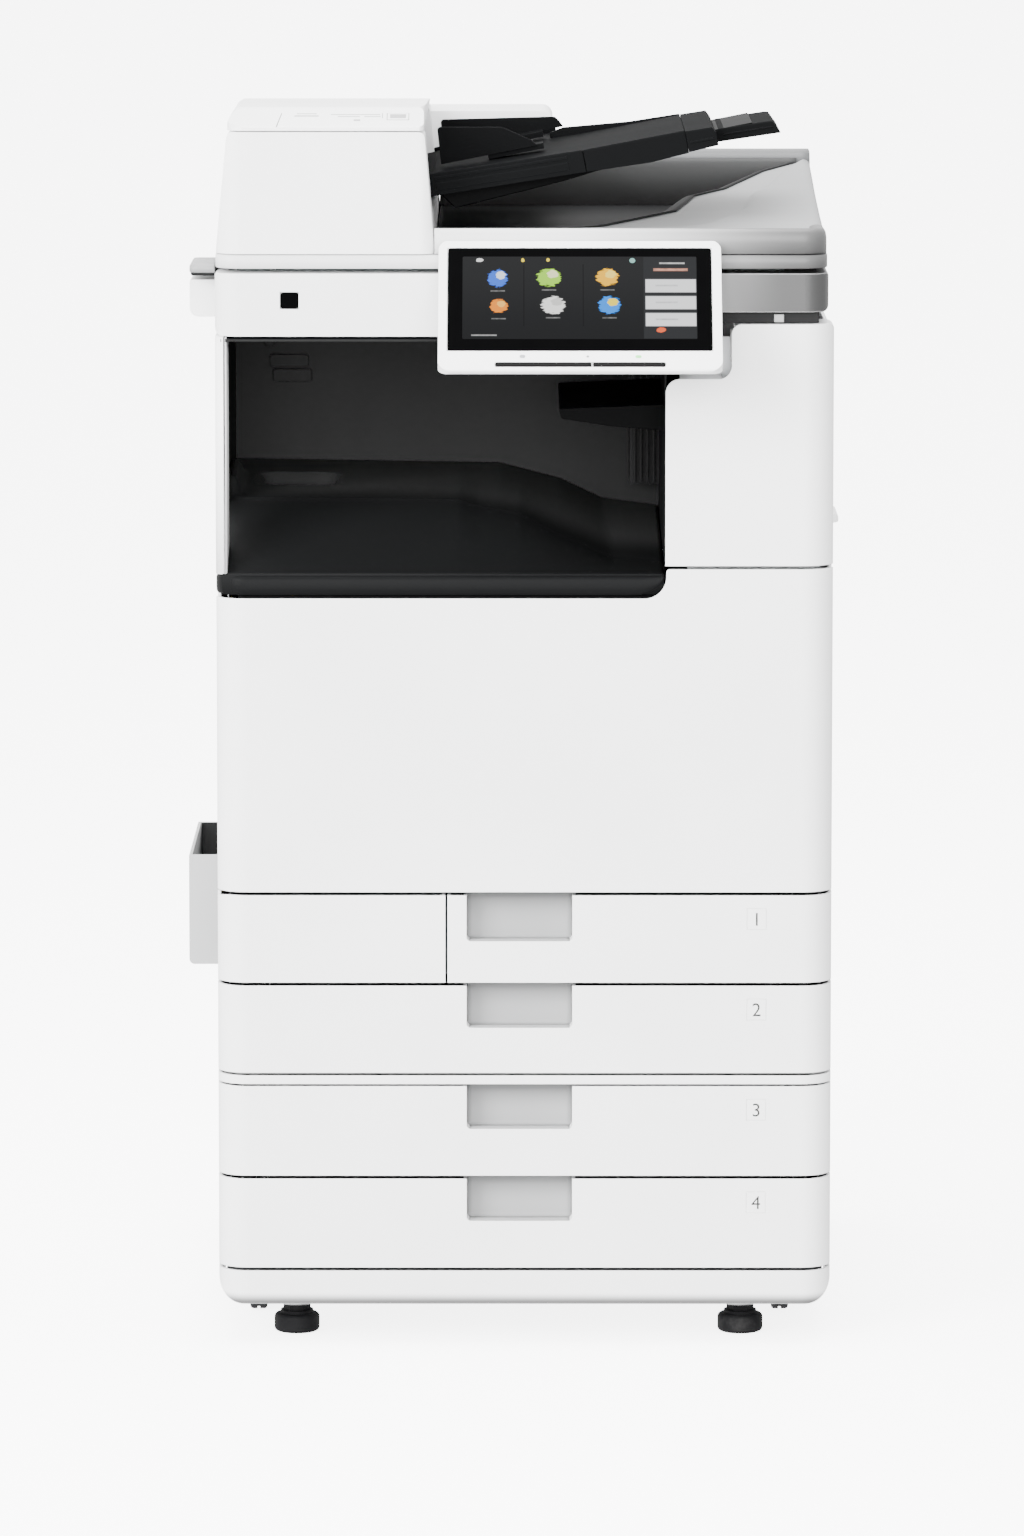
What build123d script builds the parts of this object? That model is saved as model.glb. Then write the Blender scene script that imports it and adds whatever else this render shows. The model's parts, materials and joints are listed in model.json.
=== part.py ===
from build123d import *
import math
import os

# Machine axes while modelling: X = 0 on the cabinet centre line (right seen from the front is +X),
# Y = 0 on the front face of the covers (+Y to the back), Z = 0 on the floor.
# The finished frame has its origin under the middle of the whole machine.

# ---- cabinet ----
BODY_W = 565.0          # cabinet width
BODY_D = 618.0          # front face to rear cover
HALF_W = BODY_W / 2
CORNER_R = 28.0         # upright front corners of the covers
SKIN = 3.0              # cover wall
RETURN_D = 60.0         # how far front covers wrap round the sides
SIDE_GAP = 2.0          # between a front cover's return and the side covers
REAR_Y = 612.0          # rear cover inner face
LEFT_OUT = 313.0        # manual pocket reaches this far left
RIGHT_OUT = 293.0       # side-door latch reaches this far right
PANEL_OUT = 104.207     # control panel reaches this far forward
SHIFT_X = (LEFT_OUT - RIGHT_OUT) / 2
SHIFT_Y = (PANEL_OUT - BODY_D) / 2

# ---- levels ----
BASE_Z0 = 35.5
BASE_Z1 = 66.5
SEAM = 3.0
DRAWER_Z = {4: (69.5, 152.5), 3: (155.5, 239.0), 2: (251.5, 332.5), 1: (335.5, 416.5)}
RECESS_Z = {4: 113.2, 3: 199.2, 2: 293.5, 1: 374.0}
RAIL_Z0 = 241.0
RAIL_Z1 = 249.0
COVER_Z0 = 419.5
COVER_Z1 = 717.5        # front cover, right of the output tray
LIP_Z0 = 693.0          # underside of the output tray lip
LIP_Z1 = 712.0
RIGHT_Z0 = 720.5
RIGHT_Z1 = 941.7
BAY_X1 = 128.5          # right side of the output bay
BAY_BACK_Y = 400.0
SCAN_Z0 = 930.6
SCAN_Z0_RIGHT = 952.8
SCAN_Z1 = 988.0
SCAN_X1 = 277.0
SCAN_Y1 = 562.0
LID_Z0 = 992.0
GROOVE_Z = 1005.6
FEED_Z1 = 1116.5
FEED_TOP = 1137.0
FEED_REAR_TOP = 1108.5   # low housing behind the top cover
FEED_COVER_Y1 = 498.0
LID_Y1 = 560.0
FEED_X1 = -82.0         # right side of the feeder block
EXIT_LIP_Z = 1029.0

# ---- drawers ----
DRAWER1_X0 = -70.7
WASTE_X1 = -72.7
RECESS_X0 = -53.2
RECESS_X1 = 43.9
RECESS_DEPTH = 24.0
WASTE_RETURN = 30.0     # the small cover wraps less so that it can swing
TRAY_Y0 = 30.0
TRAY_Y1 = 560.0
TRAY_WALL = 2.0
NUMBER_X = 213.2

# ---- feet and casters ----
FOOT_X = (-211.4, 200.3)
FOOT_Y = 54.0
FOOT_R = 21.0
CASTER_X = (-250.0, 240.0)
CASTER_Y = 150.0
REAR_CASTER_Y = 545.0
WHEEL_R = 20.0
TRAIL = 5.0             # swivel axis to axle
WHEEL_W = 16.0
AXLE_R = 3.0
RUN_GAP = 0.06          # radial clearance of a running fit
PAN_Z0 = 58.0
PAN_Z1 = 61.0

# ---- control panel ----
PANEL_TILT = 42.0       # face leans back this far from upright
PANEL_TOP_Y = -6.0
PANEL_TOP_Z = 1019.0
PANEL_LEN = 148.0
PANEL_X0 = -78.0
PANEL_X1 = 178.0
PANEL_PIVOT = (-19.0, 978.0)

# ---- side door and inlet ----
DOOR_Y0 = 80.0
DOOR_Y1 = 460.0
DOOR_Z0 = 430.0
DOOR_Z1 = 800.0
INLET_HALF_W = 24.0
INLET_Z = 110.0
SCREW_R = 4.0
SCREW_PLACES = [(x, z) for x in (-270, 270) for z in (90, 270, 480, 690, 900)]

# ---- document feeder ----
TRAY_TILT = 11.3        # document tray rises to the right
TRAY_PIVOT = (-84.0, 1062.0)


def slab(x0, x1, y0, y1, z0, z1):
    """Block between two corners."""
    return Pos((x0 + x1) / 2, (y0 + y1) / 2, (z0 + z1) / 2) * Box(x1 - x0, y1 - y0, z1 - z0)


def outline(points):
    """Closed flat face through (a, b) or (a, b, radius) corners; a radius rounds that corner."""
    edges = []
    corners = []
    count = len(points)
    for i, point in enumerate(points):
        a = Vector(*points[i - 1][:2])
        p = Vector(*point[:2])
        b = Vector(*points[(i + 1) % count][:2])
        radius = point[2] if len(point) > 2 else 0
        if radius == 0:
            corners.append((p, p, p))
            continue
        to_a = (a - p).normalized()
        to_b = (b - p).normalized()
        half = math.radians(to_a.get_angle(to_b)) / 2
        reach = radius / math.tan(half)
        middle = (to_a + to_b).normalized()
        centre = p + middle * (radius / math.sin(half))
        corners.append((p + to_a * reach, centre - middle * radius, p + to_b * reach))
    for i, (start, mid, end) in enumerate(corners):
        if (end - start).length > 1e-6:
            edges.append(ThreePointArc(start, mid, end))
        following = corners[(i + 1) % count][0]
        if (following - end).length > 1e-6:
            edges.append(Line(end, following))
    return make_face(edges)


def along_x(points, x0, x1):
    """(y, z) outline swept from x0 to x1."""
    return Pos(x0, 0, 0) * extrude(Plane.YZ * outline(points), amount=x1 - x0)


def along_y(points, y0, y1):
    """(x, z) outline swept from y0 to y1."""
    return Pos(0, y1, 0) * extrude(Plane.XZ * outline(points), amount=y1 - y0)


def along_z(points, z0, z1):
    """(x, y) outline swept from z0 to z1."""
    return Pos(0, 0, z0) * extrude(outline(points), amount=z1 - z0)


def rod_x(x0, x1, y, z, radius):
    return Pos((x0 + x1) / 2, y, z) * Rot(0, 90, 0) * Cylinder(radius, x1 - x0)


def rod_y(x, y0, y1, z, radius):
    return Pos(x, (y0 + y1) / 2, z) * Rot(90, 0, 0) * Cylinder(radius, y1 - y0)


def rod_z(x, y, z0, z1, radius):
    return Pos(x, y, (z0 + z1) / 2) * Cylinder(radius, z1 - z0)


def rect(a0, a1, b0, b1, radius=0):
    """Corner list of a rectangle, all corners rounded alike."""
    return [(a0, b0, radius), (a1, b0, radius), (a1, b1, radius), (a0, b1, radius)]


def group(*shapes):
    """Join shapes into one part."""
    return Part() + list(shapes)


def save(node, shape):
    moved = Pos(SHIFT_X, SHIFT_Y, 0) * shape
    moved.label = node
    export_step(moved, f"parts/{node}.step")


def wrap_skin(x0, x1, z0, z1, left=True, right=True, depth=RETURN_D):
    """Thin front wall that bends round the cabinet corners; square-ended where it meets a neighbour."""
    outer = [(x0, depth), (x0, 0, CORNER_R if left else 0), (x1, 0, CORNER_R if right else 0), (x1, depth)]
    wall = along_z(outer, z0, z1)
    inner_r = CORNER_R - SKIN
    inner = [
        (x0 + SKIN, depth + 1),
        (x0 + SKIN, SKIN, inner_r if left else 0),
        (x1 - SKIN, SKIN, inner_r if right else 0),
        (x1 - SKIN, depth + 1),
    ]
    return wall - along_z(inner, z0 - 1, z1 + 1)


# ======================= base and cabinet =======================


def caster_fork(x, y):
    """Two cheeks, a bridge over the wheel and an axle through both."""
    cheek = 2.0
    inner = WHEEL_W / 2 + 1.5
    profile = [(y - 9, WHEEL_R - 6, 4), (y + 9, WHEEL_R - 6, 4), (y + 16, 52), (y - 16, 52)]
    left = along_x(profile, x - inner - cheek, x - inner)
    right = along_x(profile, x + inner, x + inner + cheek)
    bridge = slab(x - inner - cheek, x + inner + cheek, y - 16, y + 16, 50, 52)
    axle = rod_x(x - inner - cheek - 1, x + inner + cheek + 1, y, WHEEL_R, AXLE_R)
    return group(left, right, bridge, axle)


def base_pan():
    pan = along_z([(-276, 606), (-276, 8, 24), (276, 8, 24), (276, 606)], PAN_Z0, PAN_Z1)
    rims = [
        slab(-276, 276, 604, 606, 40, PAN_Z0),
        slab(-200, 200, 110, 112, 46, PAN_Z0),
        slab(-200, 200, 480, 482, 46, PAN_Z0),
    ]
    plate = group(pan, *rims)
    for x in FOOT_X:
        boss = rod_z(x, FOOT_Y, 44, PAN_Z0, 12)
        plate = plate + boss - rod_z(x, FOOT_Y, 40, 70, 5 + RUN_GAP)
    for x in CASTER_X:
        pin = rod_z(x, CASTER_Y, 53.4, PAN_Z0, 4)
        head = rod_z(x, CASTER_Y, 55.5, PAN_Z0, 14)
        mount = slab(x - 17, x + 17, REAR_CASTER_Y - 22, REAR_CASTER_Y + 22, 52, PAN_Z0)
        plate = plate + pin + head + mount + caster_fork(x, REAR_CASTER_Y)
    return plate


def swivel_fork(x):
    """Front caster fork, free to turn under the pan; the wheel trails behind the swivel."""
    fork = caster_fork(x, CASTER_Y + TRAIL)
    turntable = rod_z(x, CASTER_Y, 50, 55, 15)
    socket = rod_z(x, CASTER_Y, 53, 56, 4 + RUN_GAP)
    return group(fork, turntable) - socket


def wheel(x, y):
    """Twin-groove wheel with a tread, hub and running bore."""
    tyre = rod_x(x - WHEEL_W / 2, x + WHEEL_W / 2, y, WHEEL_R, WHEEL_R)
    tyre = fillet(tyre.edges(), 3)
    hub = rod_x(x - WHEEL_W / 2 - 1, x + WHEEL_W / 2 + 1, y, WHEEL_R, 7)
    groove = rod_x(x - 1.5, x + 1.5, y, WHEEL_R, WHEEL_R + 1) - rod_x(x - 2, x + 2, y, WHEEL_R, WHEEL_R - 2)
    return group(tyre, hub) - groove - rod_x(x - 20, x + 20, y, WHEEL_R, AXLE_R + RUN_GAP)


def levelling_foot(x):
    """Rubber pad with a threaded stem and lock nut."""
    pad = rod_z(x, FOOT_Y, 0, 17, FOOT_R)
    pad = fillet(pad.edges(), 4)
    collar = rod_z(x, FOOT_Y, 16, 20, 15)
    nut = Pos(x, FOOT_Y, 20) * extrude(RegularPolygon(12.5, 6), amount=9)
    stem = rod_z(x, FOOT_Y, 18, 66, 5)
    return group(pad, collar, nut, stem)


def pedestal_trim():
    """Skirt round the base with rounded lower corners, and the rail between drawers two and three."""
    skirt = wrap_skin(-HALF_W, HALF_W, BASE_Z0, BASE_Z1, depth=REAR_Y)
    keep = [(-HALF_W, BASE_Z1), (-HALF_W, BASE_Z0, 23), (HALF_W, BASE_Z0, 23), (HALF_W, BASE_Z1)]
    skirt = skirt & along_y(keep, -1, REAR_Y + 1)
    rail = wrap_skin(-HALF_W, HALF_W, RAIL_Z0, RAIL_Z1)
    stay = slab(SKIN - HALF_W, HALF_W - SKIN, 54, 66, RAIL_Z0, RAIL_Z1)
    return group(skirt, rail, stay)


def main_frame():
    """Sheet-metal frame: floor, side walls, shelves between drawers, rear wall and the right tower."""
    side_x = 272.0
    sheet = 1.5
    parts = [slab(-side_x, side_x, 66, 606, 62.5, 64.5)]
    for x in (-side_x - sheet, side_x):
        parts.append(slab(x, x + sheet, 66, 606, 62.5, 690))
    for z in (153.5, 244.5, 333.5, 417.5):
        parts.append(slab(-side_x, side_x, 68, 606, z - 0.75, z + 0.75))
    parts.append(slab(-side_x, side_x, 604, 606, 62.5, 925))
    parts.append(slab(-side_x, side_x, 68, 606, 688.5, 690))
    parts.append(slab(150, side_x, 68, 606, 923, 925))
    parts.append(slab(side_x, side_x + sheet, 68, 606, 812, 925))
    parts.append(slab(side_x, side_x + sheet, 480, 606, 690, 812))
    parts.append(slab(150, side_x, 68, 70, 690, 925))
    parts.append(slab(-side_x - sheet, -side_x, 420, 606, 690, 925))
    parts.append(slab(-side_x, 150, 420, 606, 923, 925))
    divider = slab(-78, -76.5, 68, 600, 334.25, 416.75)
    inlet_cut = slab(200 - INLET_HALF_W - 1, 200 + INLET_HALF_W + 1, 600, 610, INLET_Z - 15, INLET_Z + 15)
    return group(divider, *parts) - slab(side_x - 5, side_x + 5, 90, 450, 440, 688) - inlet_cut


def left_cover():
    """Left side wall; its front edge steps back beside the output bay."""
    points = [
        (RETURN_D + SIDE_GAP, 69.5),
        (REAR_Y, 69.5),
        (REAR_Y, SCAN_Z0 - 2),
        (122, SCAN_Z0 - 2, 6),
        (122, 735, 26),
        (RETURN_D + SIDE_GAP, 716),
    ]
    wall = along_x(points, -HALF_W, -HALF_W + SKIN)
    z0, z1 = DRAWER_Z[1]
    wall = wall + slab(-HALF_W, -HALF_W + SKIN, WASTE_RETURN + SIDE_GAP, RETURN_D + SIDE_GAP + 1, z0, z1)
    for z in (RAIL_Z0 - 1.5, COVER_Z0 - 1.5):
        wall = wall - slab(-HALF_W - 1, -HALF_W + 1.2, 0, REAR_Y + 1, z - 1, z + 1)
    for i in range(9):
        z = 770 + i * 14
        wall = wall - slab(-HALF_W - 1, -HALF_W + 5, 470, 570, z, z + 6)
    return wall


def right_cover():
    """Right side wall with the opening for the side door."""
    points = [
        (RETURN_D + SIDE_GAP, 69.5),
        (REAR_Y, 69.5),
        (REAR_Y, RIGHT_Z1 - 12, 8),
        (RETURN_D + SIDE_GAP, RIGHT_Z1 - 12),
    ]
    wall = along_x(points, HALF_W - SKIN, HALF_W)
    door = along_x(rect(DOOR_Y0 - SIDE_GAP, DOOR_Y1 + SIDE_GAP, DOOR_Z0 - SIDE_GAP, DOOR_Z1 + SIDE_GAP, 8),
                   HALF_W - 10, HALF_W + 1)
    wall = wall - door
    for z in (RAIL_Z0 - 1.5, 330.0):
        wall = wall - slab(HALF_W - 1.2, HALF_W + 1, 0, REAR_Y + 1, z - 1, z + 1)
    for i in range(8):
        z = 820 + i * 12
        wall = wall - slab(HALF_W - 5, HALF_W + 1, 500, 590, z, z + 5)
    return wall


def rear_cover():
    """Rear wall with vents and an opening for the power inlet."""
    wall = along_y(rect(-HALF_W, HALF_W, 69.5, SCAN_Z0 - 2, 6), REAR_Y + 1, BODY_D)
    for i in range(10):
        z = 560 + i * 14
        wall = wall - slab(-230, -90, REAR_Y, BODY_D + 1, z, z + 6)
        wall = wall - slab(90, 230, REAR_Y, BODY_D + 1, z, z + 6)
    for z in (250.0, 418.0, 700.0):
        wall = wall - slab(-HALF_W - 1, HALF_W + 1, BODY_D - 1.2, BODY_D + 1, z - 1, z + 1)
    inlet = slab(-INLET_HALF_W - 1, INLET_HALF_W + 1, REAR_Y, BODY_D + 1, INLET_Z - 15, INLET_Z + 15)
    seats = [rod_y(x, BODY_D - 3, BODY_D + 1, z, SCREW_R) for x, z in SCREW_PLACES]
    return wall - Pos(200, 0, 0) * inlet - seats


def right_front_cover():
    """Front cover of the right tower, cut away round the control panel arm."""
    points = [
        (BAY_X1, RIGHT_Z0),
        (BAY_X1, 891.8, 13),
        (188.6, 891.8, 12),
        (188.6, RIGHT_Z1, 9),
        (HALF_W, RIGHT_Z1, 6),
        (HALF_W, RIGHT_Z0),
    ]
    skin = wrap_skin(BAY_X1, HALF_W, RIGHT_Z0, RIGHT_Z1, left=False) & along_y(points, -1, RETURN_D + 1)
    top = along_z([(188.6, 0), (HALF_W, 0, CORNER_R), (HALF_W, RETURN_D), (188.6, RETURN_D)],
                  RIGHT_Z1 - SKIN, RIGHT_Z1)
    top = top & along_y(points, -1, RETURN_D + 1)
    shelf = slab(BAY_X1 + 14, 180, 0.8, RETURN_D, 888.8, 891.8)
    jamb = slab(185.6 + SKIN, 188.6 + SKIN, 0.8, RETURN_D, 905, RIGHT_Z1 - 8)
    bay_side = slab(BAY_X1 - 1, BAY_X1 + SKIN + 0.1, SKIN, RETURN_D + 5, RIGHT_Z0 - 1, RIGHT_Z1)
    return group(skin - bay_side, top, shelf, jamb)


# ======================= output bay =======================


def bay_liner():
    """Dark lining of the output bay: back, ceiling, right wall with paper exit ribs, left rear wall."""
    back = slab(-277, 148, BAY_BACK_Y, BAY_BACK_Y + 2, 692, 922)
    ceiling = slab(-277, 148, 4, BAY_BACK_Y, 925.5, 928)
    right = slab(BAY_X1, BAY_X1 + 2, 64, BAY_BACK_Y, 722, 922)
    front_right = slab(BAY_X1, BAY_X1 + 2, SKIN + 0.3, 64, 722, 876)
    left = slab(-279, -277, 124, BAY_BACK_Y + 2, 700, 925)
    column = slab(100, BAY_X1, 350, BAY_BACK_Y, 760, 905)
    ribs = [slab(104 + i * 6, 106 + i * 6, 343, 351, 762, 900) for i in range(4)]
    plates = [
        along_y(rect(-244, -207, 868, 880, 3), BAY_BACK_Y - 4, BAY_BACK_Y),
        along_y(rect(-241, -204, 854, 866, 3), BAY_BACK_Y - 4, BAY_BACK_Y),
    ]
    lamp = rod_y(-244, BAY_BACK_Y - 5, BAY_BACK_Y, 892, 5)
    return group(back, ceiling, right, front_right, left, column, lamp, *ribs, *plates)


def output_tray():
    """Stepped delivery tray: high at the back and left, falling to a lip along the front."""
    high = [(4, 694), (4, 713, 3), (60, 722, 20), (150, 760, 40), (330, 778, 20), (396, 778), (396, 694)]
    mid = [(4, 694), (4, 713, 3), (60, 717, 20), (170, 738, 40), (330, 764, 20), (396, 764), (396, 694)]
    low = [(4, 694), (4, 713, 3), (60, 715, 20), (170, 722, 40), (330, 734, 20), (396, 736), (396, 694)]
    bed = group(along_x(high, -270, -20), along_x(mid, -20, 60), along_x(low, 60, 126))
    bed = bed - slab(-262, 118, 12, 388, 690, 708)
    bed = bed - along_z(rect(-244, -180, 224, 300, 14), 754, 800)
    outer = [(-HALF_W, RETURN_D), (-HALF_W, 0, CORNER_R), (127.5, 0), (127.5, 30), (-262, 30),
             (-262, RETURN_D)]
    lip = along_z(outer, LIP_Z0, LIP_Z1)
    keep = [(-HALF_W, LIP_Z1), (-HALF_W, LIP_Z0, 9), (127.5, LIP_Z0, 18), (127.5, LIP_Z1)]
    lip = lip & along_y(keep, -1, 120)
    fin = along_x([(150, 758), (300, 800, 8), (330, 800, 8), (360, 776)], -266, -254)
    return group(bed, lip, fin)


def upper_tray():
    """Short second tray reaching in from the right wall."""
    profile = [(31, 858, 2), (BAY_X1 - 0.5, 862), (BAY_X1 - 0.5, 838), (80, 842), (34, 849, 2)]
    return along_y(profile, 70, 340)


# ======================= scanner =======================


def scanner_housing():
    """Open-topped box holding the reader, with a glass seat, carriage rails and a side block."""
    x0 = -HALF_W
    shell = along_y([(x0, SCAN_Z1, 3), (x0, SCAN_Z0, 8), (-10, SCAN_Z0), (30, SCAN_Z0_RIGHT),
                     (SCAN_X1, SCAN_Z0_RIGHT, 6), (SCAN_X1, SCAN_Z1, 3)], 0, SCAN_Y1)
    corner = [(x0, SCAN_Y1), (x0, 0, 22), (SCAN_X1, 0, 22), (SCAN_X1, SCAN_Y1)]
    shell = shell & along_z(corner, SCAN_Z0 - 1, SCAN_Z1 + 1)
    shell = shell - slab(x0 + 12, SCAN_X1 - 10, 40, 540, 957, SCAN_Z1 + 1)
    seat = slab(x0 + 12, SCAN_X1 - 10, 40, 540, 981, 983.5) - slab(-225, 235, 70, 500, 980, 990)
    seat = seat - slab(-262, -236, 70, 500, 980, 990)
    rails = [rod_x(x0 + 11, SCAN_X1 - 9, y, 963, 3) for y in (90, 470)]
    window = slab(-222.5, -205.5, -1, 6, 955.6, 971.1)
    block = along_y([(-307, 944, 8), (-307, 978, 2), (x0 + 1, 978), (x0 + 1, 944)], 60, 300)
    groove = slab(x0 - 1, x0 + 1.2, 30, SCAN_Y1, 979, 981)
    return group(shell - window - groove, seat, block, *rails)


def platen_glass():
    """Large document glass and the narrow strip glass beside it."""
    top = slab(-228, 238, 66, 504, 983.5, 987.5)
    strip = slab(-264, -233, 66, 504, 983.5, 987.5)
    return group(top, strip)


def scan_carriage():
    """Reading carriage across the machine on two round rails, at its parked left end."""
    body = slab(-262, -214, 82, 478, 966.5, 979) + slab(-262, -214, 100, 460, 960, 967)
    slot = slab(-242, -234, 110, 450, 976, 980)
    bores = [rod_x(-263, -213, y, 963, 3.4) for y in (90, 470)]
    shoes = [slab(-262, -214, y - 7, y + 7, 958.5, 967) for y in (90, 470)]
    return group(body, *shoes) - slot - bores[0] - bores[1]


def sensor_window():
    """Small dark presence-sensor window in the scanner front."""
    return along_y(rect(-222.2, -205.8, 955.9, 970.8, 3), 1, 6)


def lid_hinge_brackets():
    """Two hinge brackets behind the scanner, each with two ears and a pin."""
    parts = []
    for x in (-200.0, 180.0):
        parts.append(slab(x - 24, x + 24, SCAN_Y1, 600, 945, 958))
        for side in (-1, 1):
            ear = along_x([(572, 957), (572, 994, 8), (592, 994, 8), (592, 957)],
                          x + side * 20 - 3, x + side * 20 + 3)
            parts.append(ear)
        parts.append(rod_x(x - 20, x + 20, 582, 984, 4))
    return group(*parts)


# ======================= lid and feeder =======================


def lid_base():
    """Lid floor, right-hand exit tray body, rear wall and hinge arms."""
    x0 = -HALF_W + 0.5
    floor = along_z([(x0, LID_Y1, 4), (x0, 0, 22), (276, 0, 22), (276, LID_Y1, 4)], LID_Z0, GROOVE_Z - 1)
    lift_lip = along_y([(-307, 984.5, 2), (-307, 990, 2), (x0 + 2, 994), (x0 + 2, 990.5)], 40, 130)
    bed = along_y([(FEED_X1 + 1, GROOVE_Z), (FEED_X1 + 1, 1012), (130, 1012), (200, 1022), (274, 1036, 6),
                   (275, GROOVE_Z)], 24, LID_Y1 - 90)
    front = along_x([(0, GROOVE_Z), (0, EXIT_LIP_Z - 3, 8), (14, EXIT_LIP_Z, 4), (24, EXIT_LIP_Z - 4),
                     (24, GROOVE_Z)], FEED_X1 + 1, 275)
    rear = along_x([(LID_Y1 - 90, GROOVE_Z), (LID_Y1 - 90, 1062), (LID_Y1 - 60, 1070, 10),
                    (LID_Y1, 1062, 12), (LID_Y1, GROOVE_Z)], FEED_X1 + 1, 275)
    end = along_x([(20, GROOVE_Z), (20, 1028), (LID_Y1 - 80, 1066), (LID_Y1 - 80, GROOVE_Z)], 262, 275)
    core = slab(x0 + 8, 270, 6, LID_Y1 - 6, GROOVE_Z - 2, GROOVE_Z)
    arms = []
    for x in (-200.0, 180.0):
        arm = slab(x - 12, x + 12, LID_Y1 - 20, 582, 993, 997)
        barrel = rod_x(x - 12, x + 12, 582, 984, 9)
        neck = slab(x - 12, x + 12, 575, 588, 984, 997)
        arms.append(group(arm, barrel, neck) - rod_x(x - 13, x + 13, 582, 984, 4 + RUN_GAP))
    return group(floor, lift_lip, bed, front, rear, end, core, *arms)


def feeder_body():
    """Document feeder block with the paper entry in its right side, and the low rear housing."""
    x0 = -HALF_W + 1
    side = [(x0, GROOVE_Z), (x0 + 11, FEED_Z1, 6), (-91, FEED_Z1, 6), (FEED_X1, GROOVE_Z)]
    block = along_y(side, 0, LID_Y1)
    corner = [(x0, LID_Y1, 6), (x0, 0, 24), (FEED_X1, 0, 14), (FEED_X1, LID_Y1, 6)]
    block = block & along_z(corner, GROOVE_Z - 1, FEED_Z1 + 1)
    block = block - slab(-190, -60, 60, 426, 1056, 1100)
    block = block - slab(-250, -60, 60, 426, 1060, FEED_Z1 + 1)
    block = block - slab(x0 - 1, 0, FEED_COVER_Y1, LID_Y1 + 1, FEED_REAR_TOP, FEED_Z1 + 1)
    rear_side = [(FEED_X1 - 10, 1072), (27, 1072, 10), (27, FEED_REAR_TOP + 2, 10),
                 (FEED_X1 - 10, FEED_REAR_TOP + 2)]
    rear = along_y(rear_side, 444, LID_Y1)
    ports = rod_y(-150, 55, 432, 1080, 4)
    return group(block, rear) - slab(-96, -60, 60, 426, 1050, FEED_Z1 + 1) + ports


def feeder_cover():
    """Top cover of the feeder with a sloping front facet; opens about its left edge."""
    x0 = -HALF_W + 12
    x1 = -91.5
    facet = [(1, FEED_Z1 + 1), (1, FEED_Z1 + 5, 2), (48, FEED_TOP, 30), (FEED_COVER_Y1, FEED_Z1 + 3, 2),
             (FEED_COVER_Y1, FEED_Z1 + 1)]
    shell = along_x(facet, x0, x1)
    round_over = [(x0, FEED_Z1 + 1), (x0, FEED_TOP, 16), (x1, FEED_TOP, 6), (x1, FEED_Z1 + 1)]
    shell = shell & along_y(round_over, 0, LID_Y1)
    shell = shell & along_z([(x0, LID_Y1), (x0, 0, 20), (x1, 0, 8), (x1, LID_Y1)], 1100, 1150)
    hollow = [(30, FEED_Z1), (30, FEED_TOP - 14), (60, FEED_TOP - 5), (440, FEED_Z1 + 2), (440, FEED_Z1)]
    return shell - along_x(hollow, x0 + 6, x1 - 6)


def exit_liner():
    """Dark floor of the document exit, rising in two steps to the right."""
    bed = [(FEED_X1 + 2, 1012.5), (FEED_X1 + 2, 1016), (128, 1016, 20), (196, 1028), (198, 1022.5),
           (130, 1012.5)]
    floor = along_y(bed, 26, LID_Y1 - 92)
    back = slab(FEED_X1 + 2, 196, LID_Y1 - 95, LID_Y1 - 92, 1023, 1060)
    ridge = along_y([(20, 1015), (40, 1021, 8), (100, 1019, 8), (120, 1015)], 90, 130)
    return group(floor, back, ridge)


def platen_pad():
    """White pressing pad under the lid."""
    return slab(-226, 236, 68, 502, 988.5, LID_Z0)


def tilted(shape):
    """Turn a level tray piece about the feeder mouth to the document tray's slope."""
    pivot_x, pivot_z = TRAY_PIVOT
    return Pos(pivot_x, 0, pivot_z) * Rot(0, -TRAY_TILT, 0) * shape


def document_tray():
    """Document tray: a bed wider at the feeder, a deep front wall, a hollow underside and a guide slot."""
    bed = along_y([(2, 12.2), (140, 6.3), (236, 5.5), (236, -1), (2, -1)], 66, 334)
    wide = along_y([(2, 12.2), (118, 7.2), (118, -1), (2, -1)], 330, 420)
    front = along_y([(-2, -7.6), (-1, 13.2, 1), (140, 7.2), (236, 6.3), (236, -14.6), (200, -16.4),
                     (140, -13.4)], 60.6, 67)
    rear = slab(0, 118, 414, 420, -2, 15)
    side = along_y([(112, -2), (112, 13), (126, 15, 3), (188, 8.2), (236, 6.2), (236, -2)], 328, 334)
    nose = slab(-14, 6, 80, 410, 9, 12)
    under = along_y([(4, 0), (5, -8), (16, -24, 3), (118, -19), (150, -15.8), (236, -12.6), (236, -0.5)],
                    80, 330)
    pocket = slab(58, 240, 116, 304, -7.5, -1.5)
    slot = slab(74, 86, 104, 382, 4, 13)
    return tilted(group(bed, wide, front, rear, side, nose, under) - pocket - slot)


def document_guide(side):
    """Upright paper guide on a sliding foot; side is -1 for the front guide and 1 for the rear one."""
    y = 243 + side * 105
    if side < 0:
        shape = [(10, 15), (13, 49.5, 3), (72, 37.7, 14), (97, 20, 8), (100, 15)]
    else:
        shape = [(10, 15), (13, 44, 3), (120, 25.5, 3), (123, 21), (126, 15)]
    blade = along_y(shape, y - 2, y + 2)
    inner = y - side * 30
    foot = slab(54, 106, min(inner, y), max(inner, y), 10.8, 16)
    return tilted(group(blade, foot))


def tray_extension():
    """Pull-out end of the document tray: a plate in the tray's pocket, a full-width end and a narrower grip."""
    plate = slab(150, 300, 130, 290, -6.5, -2.5)
    end = along_y([(237, -14), (237, 5.4), (261, 4.4, 1), (264, -2), (264, -13)], 61, 334)
    grip = along_y([(262, -14.3), (262, -4), (268, -2.6, 1), (318, -5, 2), (323.4, -17.5)], 130, 290)
    return tilted(group(plate, end, grip))


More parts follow.
